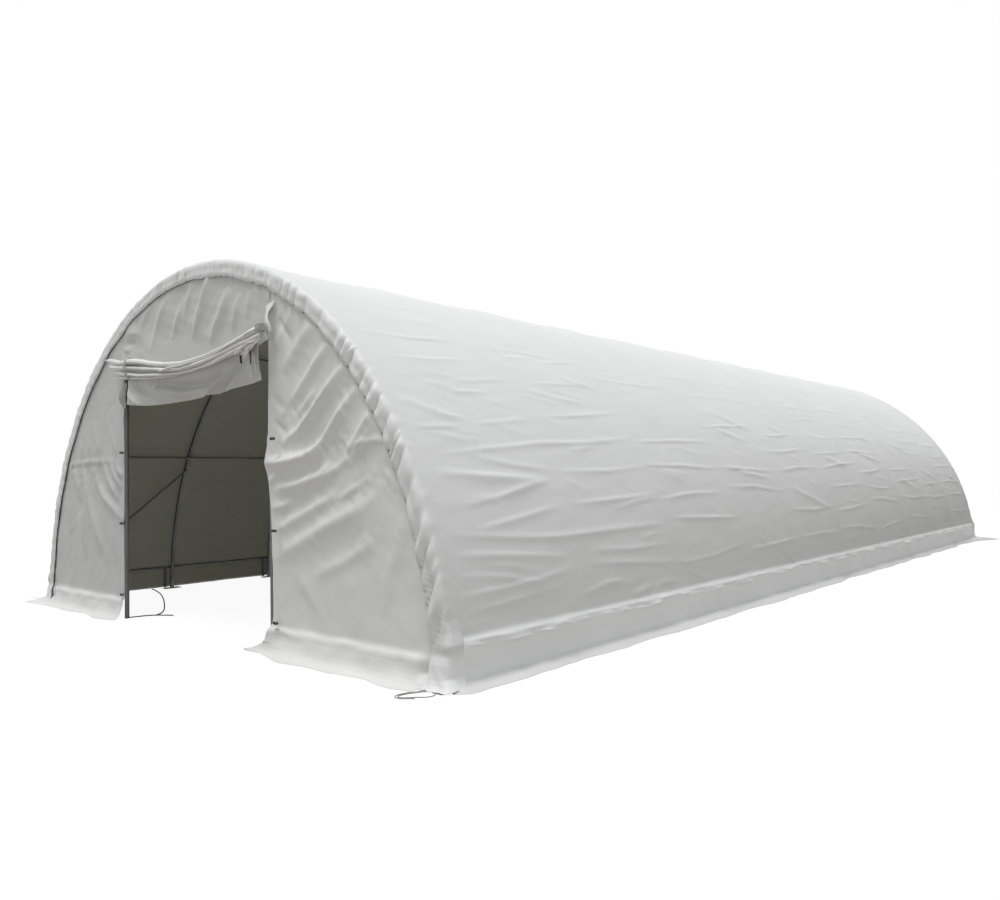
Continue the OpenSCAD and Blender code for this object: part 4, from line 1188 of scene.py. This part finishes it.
def curtain_fold(name, forward, deep, turns, line, columns, rows, seed):
    """Cloth wound loosely round a line in a flattened roll, wrinkled along its length."""
    line = np.array(line)
    tallest = line[:, 2].max()

    def shape(u, v):
        x = line[0, 0] + (line[-1, 0] - line[0, 0]) * u
        middle = eased(x, line[:, 0], line[:, 1], 14)
        tall = eased(x, line[:, 0], line[:, 2], 10)
        turn = 2 * math.pi * turns * (1 - v) - 0.7 + 0.5 * np.sin(1.7 * x + seed)
        pinch = 1 + 0.07 * waves(x, np.sin(turn) * 0.05, seed, 12, 0.34)
        pinch += 0.030 * waves(x, np.cos(turn) * 0.06, seed + 1, 12, 0.09)
        pinch += 0.16 * (1 - np.abs(np.sin(1.5 * turn + 1.3 * x + seed))) ** 2 - 0.05
        lip = 1 + 0.22 * hump(v, 1, 0.10) * np.sin(3 * x + seed)
        size = (0.30 + 0.70 * v ** 0.8) * pinch * lip
        y = roll_y + forward - deep * tall / tallest * size * np.cos(turn) + 0.010 * np.sin(2.6 * x)
        z = middle + tall * size * np.sin(turn) * (1 - 0.18 * np.cos(turn))
        return x + 0.035 * hump(x, line[0, 0], 0.10) * np.sin(turn * 0.9 + seed), y, z

    long = float(line[-1, 0] - line[0, 0])
    usual = float(np.trapz(line[:, 2], line[:, 0])) / long
    around = 0.69 * 2 * math.pi * turns * math.hypot(deep * usual / tallest, usual) / math.sqrt(2)
    cloth(name, (long, around), columns, rows, shape, (0, -60, 3.4), [curtain_cloth],
          ["door_curtain_roll"], thick=0.0016)


curtain_fold("door_curtain_core", 0.034, 0.046, 4.5, core_line, 80, 84, 541)
for i, (name, forward, deep, turns, line) in enumerate(curtain_folds):
    columns = max(24, round((line[-1][0] - line[0][0]) * 38))
    curtain_fold(name, forward, deep, turns, line, columns, 30 if i < 3 else 22, 551 + 3 * i)

# Folds as (width, rise, lean, [(x, height), ...])
flap_folds = [
    (0.085, -0.055, 0.2, [(-0.85, 3.17), (-0.52, 3.13), (-0.03, 3.05), (0.60, 3.04), (1.03, 3.11),
                          (1.50, 3.21)]),
    (0.070, 0.026, 0.2, [(-0.90, 3.08), (-0.35, 2.99), (0.08, 2.955), (0.66, 2.97)]),
    (0.055, 0.060, 0.2, [(0.46, 2.84), (0.70, 2.955), (0.97, 3.06), (1.30, 3.19)]),
    (0.050, -0.040, 0.2, [(0.62, 2.84), (0.90, 2.96), (1.16, 3.06), (1.42, 3.17)]),
    (0.070, 0.045, 0.2, [(-1.42, 3.14), (-1.32, 3.03), (-1.05, 2.86)]),
    (0.060, -0.030, 0.2, [(-1.24, 3.20), (-1.10, 3.09), (-0.86, 3.00)]),
    (0.045, 0.020, 0.2, [(1.02, 2.90), (1.22, 2.99), (1.40, 3.10)]),
    (0.050, 0.018, 0.2, [(1.66, 2.96), (1.64, 3.10), (1.65, 3.26)]),
    (0.040, -0.014, 0.2, [(1.58, 2.98), (1.56, 3.12), (1.58, 3.26)]),
    (0.040, 0.014, 0.2, [(-1.36, 3.22), (-1.30, 3.14), (-1.18, 3.10)]),
]


def flap_shape(u, v):
    x = -1.46 + 3.235 * u + 0.02 * v * (0.5 - u)
    under_roll = np.array(curtain_folds[2][4])
    upper = np.interp(x, under_roll[:, 0], under_roll[:, 1]) + 0.020
    lower = eased(x, [-1.47, -1.12, -0.80, -0.31, 0.16, 0.59, 0.95, 1.31, 1.78],
                  [2.937, 2.896, 2.876, 2.870, 2.873, 2.890, 2.907, 2.930, 2.958], 14)
    z = upper + (lower - upper) * v
    lift = fold_field(x, z, flap_folds, 0.85, 1.5)
    lift += 0.008 * waves(x, z, 521, 7, 0.5) + 0.002 * waves(x, z, 522, 12, 0.12)
    swing = eased(x, [-1.48, -1.15, -0.75, -0.30, 0.60, 1.45, 1.80],
                  [-0.020, -0.008, 0.030, 0.066, 0.078, 0.066, 0.040])
    return x, roll_y + 0.004 - lift + swing * v, z


# The flap's seen face is the darker copy of the curtain cloth: painted shade.
cloth("door_curtain_hanging_flap", (3.25, 0.40), 150, 28, flap_shape, (0, -60, 3),
      [shaded_curtain_cloth, curtain_cloth], ["door_curtain_flap"], thick=0.0024)


def bunched_shape(u, v):
    along = eased(u, [0, 0.25, 0.5, 0.75, 1], [1.585, 1.655, 1.735, 1.815, 1.878], 12)
    crest = eased(u, [0, 0.25, 0.5, 0.75, 1], [3.255, 3.290, 3.335, 3.385, 3.425], 12)
    spread = eased(u, [0, 0.3, 0.7, 1], [0.085, 0.110, 0.085, 0.050], 20)
    pleat = np.cos(2 * math.pi * (2.6 * v + 0.7 * u)) + 0.5 * np.cos(2 * math.pi * (5.1 * v - 1.2 * u))
    tuck = np.sin(math.pi * u) ** 0.5
    y = roll_y - 0.062 - 0.017 * pleat * tuck - 0.012 * np.sin(math.pi * v)
    x = along + 0.012 * np.sin(9 * v + 5 * u) + 0.40 * spread * (v - 0.5)
    z = crest - spread * (v - 0.5) + 0.006 * np.sin(11 * u + 4 * v)
    return x, y, z


cloth("curtain_bunched_end", (0.36, 0.24), 34, 56, bunched_shape, (1.7, -60, 3.3), [curtain_cloth],
      thick=0.0024)


# ---- Curtain ties ----
# Two bands of the same cloth hold the roll up: one pulled round its left end, and one wrapped over
# its right end like a cap, whose spare length is drawn up to the wall and pinched in the middle.
# The left band's loose end hangs below the roll.
# The bands and the loose end are a darker, olive-grey copy of the curtain cloth: painted shade.
shaded_tie_cloth = woven_cloth("painted_shade_tie_cloth", (0.50, 0.50, 0.46), (0.40, 0.40, 0.36),
                        (0.46, 0.44, 0.38), 0.55, 1.0)


def left_tie_shape(u, v):
    turn = 2 * math.pi * u
    x = -1.335 + 0.045 * (v - 0.5) * (1 + 0.2 * np.sin(3 * turn)) - 0.030 * np.sin(turn)
    y = roll_y - 0.016 - (0.094 + 0.004 * np.sin(9 * v)) * np.cos(turn)
    return x, y, 3.408 + (0.160 - 0.012 * np.abs(np.cos(turn * 2))) * np.sin(turn)


cloth("left_curtain_tie", (0.80, 0.05), 60, 8, left_tie_shape, (0, -60, 3.4), [shaded_tie_cloth],
      ["curtain_bands"], thick=0.0022)


def right_tie_shape(u, v):
    turn = 2 * math.pi * u
    open_share = eased(v, [0, 0.12, 0.66, 0.88, 1], [1.0, 1.04, 1.04, 0.86, 0.02], 4)
    corner = 1 - 0.11 * np.cos(4 * turn) + 0.015 * np.sin(7 * turn + 5 * v)
    x = 1.858 + 0.094 * np.minimum(v * 1.12, 1) + 0.005 * np.sin(2 * turn)
    y = roll_y - 0.044 - 0.047 * open_share * corner * np.cos(turn)
    return x, y, 3.512 + 0.008 * v + 0.048 * open_share * corner * np.sin(turn)


cloth("right_curtain_tie", (0.30, 0.145), 64, 22, right_tie_shape, (20, -60, 3.4), [shaded_tie_cloth],
      ["curtain_bands"], thick=0.0022)


def pinched_shape(u, v):
    at = [0, 0.13, 0.27, 0.40, 0.53, 0.68, 0.84, 1]
    side = u - 0.5
    middle_x = eased(v, at, [1.890, 1.888, 1.886, 1.886, 1.905, 1.948, 1.985, 2.012])
    z = eased(v, at, [3.800, 3.755, 3.705, 3.660, 3.610, 3.560, 3.510, 3.462], 10)
    wide = eased(v, at, [0.210, 0.175, 0.100, 0.070, 0.082, 0.120, 0.128, 0.085], 22)
    y = roll_y + eased(v, at, [0.090, 0.078, 0.060, 0.044, 0.026, 0.012, 0.004, 0.002], 24)
    y = y - 0.014 * np.cos(math.pi * side) * tent(v, 0.4, 0.5) - 0.020 * side
    return middle_x + wide * side, y, z + 0.020 * side * np.cos(3 * v) - 0.02 * side ** 2


cloth("right_tie_pinched_end", (0.12, 0.38), 18, 44, pinched_shape, (9, -60, 3.6), [curtain_cloth],
      thick=0.0024)


def loose_end_shape(u, v):
    z = 3.250 - 0.345 * v + 0.02 * np.sin(math.pi * v) * (u - 0.5)
    wide = 0.022 + 0.190 * np.sin(math.pi * np.clip(v * 0.96 + 0.02, 0, 1)) ** 0.8
    x = -1.625 - 0.085 * np.sin(math.pi * v) - 0.045 * v + wide * (u - 0.5)
    y = roll_y + 0.044 - 0.040 * np.sin(math.pi * u) * np.sin(math.pi * v) + 0.004 * np.sin(9 * v)
    return x, y, z


cloth("left_tie_loose_end", (0.20, 0.35), 18, 28, loose_end_shape, (0, -60, 3.1), [shaded_tie_cloth],
      thick=0.0024)


# ---- Zip pulls and button ----
# Zips run down the door, so where their ends hang out of the roll there are black moulded pulls and
# short tails of white tape. A round white button is sewn to the flap to fasten the curtain.
black_plastic, tree, place = new_finish("black_moulded_plastic")
scuffs = noise(tree, place, 60.0, 5.0)
set_surface(tree, {
    "Base Color": mixed_colours(tree, scuffs, (0.008, 0.008, 0.009), (0.024, 0.024, 0.024)),
    "Roughness": ranged(tree, scuffs, result=(0.38, 0.62))})
zip_tape = woven_cloth("white_zip_tape", (0.80, 0.80, 0.78), (0.70, 0.70, 0.68),
                       (0.60, 0.58, 0.52), 0.60, 1.0)
tape_wide = 0.014


def bar(bm, centre, turn, size):
    """A square bar about a point, with its size along its own turned axes."""
    return bmesh.ops.create_cube(bm, size=1, matrix=Matrix.Translation(centre) @ turn
                                 @ Matrix.Diagonal((*size, 1)))["verts"]


def long_pull(bm, top, bottom, wide, deep):
    """A moulded pull between two points: a bar that is narrower at its eye than at its grip."""
    top, bottom = Vector(top), Vector(bottom)
    made = bar(bm, (top + bottom) / 2, pointed(bottom - top), (wide, deep, (bottom - top).length))
    for vert in made:
        if (vert.co - top).length < (vert.co - bottom).length:
            vert.co.x += (top.x - vert.co.x) * 0.35
    edges = list(dict.fromkeys(edge for vert in made for edge in vert.link_edges))
    bmesh.ops.bevel(bm, geom=edges, offset=deep * 0.3, segments=3, profile=0.5, affect="EDGES")


bm = bmesh.new()
long_pull(bm, (1.507, roll_y - 0.052, 3.262), (1.521, roll_y - 0.048, 3.160), 0.026, 0.014)
long_pull(bm, (1.707, roll_y - 0.052, 3.282), (1.711, roll_y - 0.046, 3.132), 0.028, 0.014)
long_pull(bm, (1.600, roll_y - 0.074, 3.320), (1.640, roll_y - 0.064, 3.250), 0.022, 0.012)
finished(bm, "zip_pulls", black_plastic)

for name, points in (
    ("left_zip_tail", [(1.640, 3.180), (1.622, 3.120), (1.600, 3.070), (1.590, 3.020)]),
    ("middle_zip_tail", [(1.672, 3.170), (1.668, 3.110), (1.650, 3.050), (1.642, 2.985)]),
    ("right_zip_tail", [(1.722, 3.260), (1.742, 3.200), (1.738, 3.120), (1.748, 3.050)]),
):
    line = np.array(points)

    def tail_shape(u, v, line=line):
        at = np.linspace(0, 1, len(line))
        x = eased(v, at, line[:, 0]) + tape_wide * (u - 0.5)
        return x, roll_y - 0.036 + 0.030 * v - 0.003 * np.sin(7 * v), eased(v, at, line[:, 1])

    long = round(float(run_along(line)[-1]), 3)
    cloth(name, (tape_wide, long), 2, 14, tail_shape, (0, -60, 3), [zip_tape],
          thick=0.0020)

bm = bmesh.new()
facing_out = Matrix.Rotation(math.radians(90), 4, "X")
button_x, button_z = -0.67, 3.112
drum(bm, (button_x, roll_y - 0.012, button_z), facing_out, 0.020, 0.007, 28, 0.017)
bmesh.ops.create_uvsphere(bm, u_segments=20, v_segments=10, radius=0.008,
                          matrix=Matrix.Translation((button_x, roll_y - 0.015, button_z)))
finished(bm, "curtain_button", zip_tape)


# ---- Door toggles ----
# Black moulded toggles hold the curtain's edges when it is down. Each is a short waisted bar on a
# loop of black tape that is stitched to the wall panel beside the door.
edge_tape = woven_cloth("black_edge_tape", (0.040, 0.040, 0.042), (0.024, 0.024, 0.026),
                        (0.10, 0.09, 0.08), 0.70, 1.0)
toggle_low, toggle_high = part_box("right_door_toggles")
toggle_heights = [toggle_low.z + 0.01 + (toggle_high.z - toggle_low.z - 0.02) * i / 2 for i in range(3)]
toggle_y = (toggle_low.y + toggle_high.y) / 2
# A toggle from its inner to its outer end, as (start, end, radius at the start, radius at the end)
toggle_turns = ((-0.046, -0.030, 0.008, 0.0150), (-0.030, -0.006, 0.0150, 0.0125),
                (-0.006, 0.006, 0.0125, 0.0125), (0.006, 0.030, 0.0125, 0.0150),
                (0.030, 0.046, 0.0150, 0.008))
# Where each toggle lies, as (distance across, distance forward)
for side, side_name, toggle_places in (
    (-1, "left", ((-1.845, 0.020), (-1.845, 0.020), (-1.845, 0.020))),
    (1, "right", ((1.990, 0.040), (2.010, 0.060), (2.035, 0.085))),
):
    bm = bmesh.new()
    for (toggle_x, forward), height in zip(toggle_places, toggle_heights):
        for start, end, inner, outer in toggle_turns:
            drum(bm, (toggle_x + side * (start + end) / 2, toggle_y - forward, height),
                 Matrix.Rotation(math.radians(90 * side), 4, "Y"), inner, end - start, 18, outer)
    toggles = finished(bm, side_name + "_toggle_bars", black_plastic)
    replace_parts(toggles, side_name + "_door_toggles")
    for i, ((toggle_x, forward), height) in enumerate(zip(toggle_places, toggle_heights)):

        def loop_shape(u, v, toggle_x=toggle_x, forward=forward, height=height):
            turn = 2 * math.pi * v
            x = toggle_x + 0.010 * (u - 0.5)
            y = toggle_y + 0.008 - forward - 0.024 * np.cos(turn)
            return x, y, height + 0.0165 * np.sin(turn) * (1 + 0.3 * np.cos(turn))

        cloth(f"{side_name}_toggle_loop_{i + 1}", (0.010, 0.13), 2, 24, loop_shape,
              (toggle_x, toggle_y - 0.012, height + 3), [edge_tape],
              [side_name + "_door_toggles"],
              thick=0.0016)


# ---- Tension straps ----
# Under each cover rail, one flat webbing strap at each hoop pulls the rail down to its base plate
# through a small steel ratchet with a folding handle.
strap_webbing = woven_cloth("grey_strap_webbing", (0.30, 0.30, 0.29), (0.22, 0.22, 0.21),
                            (0.24, 0.21, 0.17), 0.70, 1.0)
strap_low, strap_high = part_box("right_tension_straps")
strap_x = strap_high.x - 0.0015
strap_wide = 0.044
strap_long = 0.372
strap_from_hoop = strap_low.y + strap_wide / 2 - hoop_places[0]
across = Matrix.Rotation(math.radians(90), 4, "X")
for side, side_name in ((-1, "left"), (1, "right")):
    bm = bmesh.new()
    for i, y in enumerate(hoop_places):
        at_y = y + (strap_from_hoop if i == 0 else -strap_from_hoop)

        def strap_shape(u, v, side=side, at_y=at_y):
            z = plate_top + 0.012 + (rail_low.z + 0.012 - plate_top) * v
            x = strap_x + 0.004 * np.sin(math.pi * v) + 0.001 * np.sin(9 * v)
            return side * x, at_y + strap_wide * (u - 0.5), z

        cloth(f"{side_name}_tension_strap_{i + 1}", (strap_wide, strap_long), 4, 16, strap_shape,
              (side * 60, at_y, 0.2), [strap_webbing],
              [side_name + "_tension_straps"], thick=0.0025)
        # The ratchet: two cheek plates, three pins across them, and the folding handle
        for cheek in (-0.019, 0.019):
            bar(bm, (side * (strap_x - 0.016), at_y + cheek, 0.20), upright, (0.024, 0.003, 0.10))
        for z, radius in ((0.235, 0.006), (0.200, 0.008), (0.165, 0.005)):
            drum(bm, (side * (strap_x - 0.015), at_y, z), across, radius, 0.050, 16)
        bar(bm, (side * (strap_x - 0.030), at_y, 0.225), Matrix.Rotation(math.radians(8 * side), 4, "Y"),
            (0.003, 0.032, 0.085))
    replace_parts(finished(bm, side_name + "_strap_ratchets", plate_zinc),
                side_name + "_tension_straps")


# ---- Eyelets and loose tab ----
# Zinc eyelets are pressed into the ground flaps and skirts for pegs, and a short black tab hangs
# from the hem at the foot of the left leg.
bm = bmesh.new()
eyelet_z = 0.0128
eyelet_hole = 0.0065
eyelet_rim = 0.006
eyelet_thick = 0.002
flap_eyelets = [(x, front_hoop_y - 0.135) for x in (-3.9, -3.1, -2.4, 2.38, 3.1, 3.8)]
skirt_eyelets = [(side * 4.715, -9.0 + i) for side in (-1, 1) for i in range(19)]
for x, y in flap_eyelets + skirt_eyelets:
    ring_round(bm, (x, y, eyelet_z), (0, 0, 1), eyelet_hole, eyelet_rim, eyelet_thick, 24)
finished(bm, "flap_eyelets", plate_zinc)


def tab_shape(u, v):
    x = -4.305 - 0.010 * v + 0.022 * (u - 0.5)
    return x, front_hoop_y - 0.062 - 0.012 * np.sin(math.pi * v) - 0.004 * u, 0.415 - 0.140 * v


cloth("left_foot_tab", (0.022, 0.14), 3, 12, tab_shape, (0, -60, 0.4), [edge_tape],
      thick=0.0020)
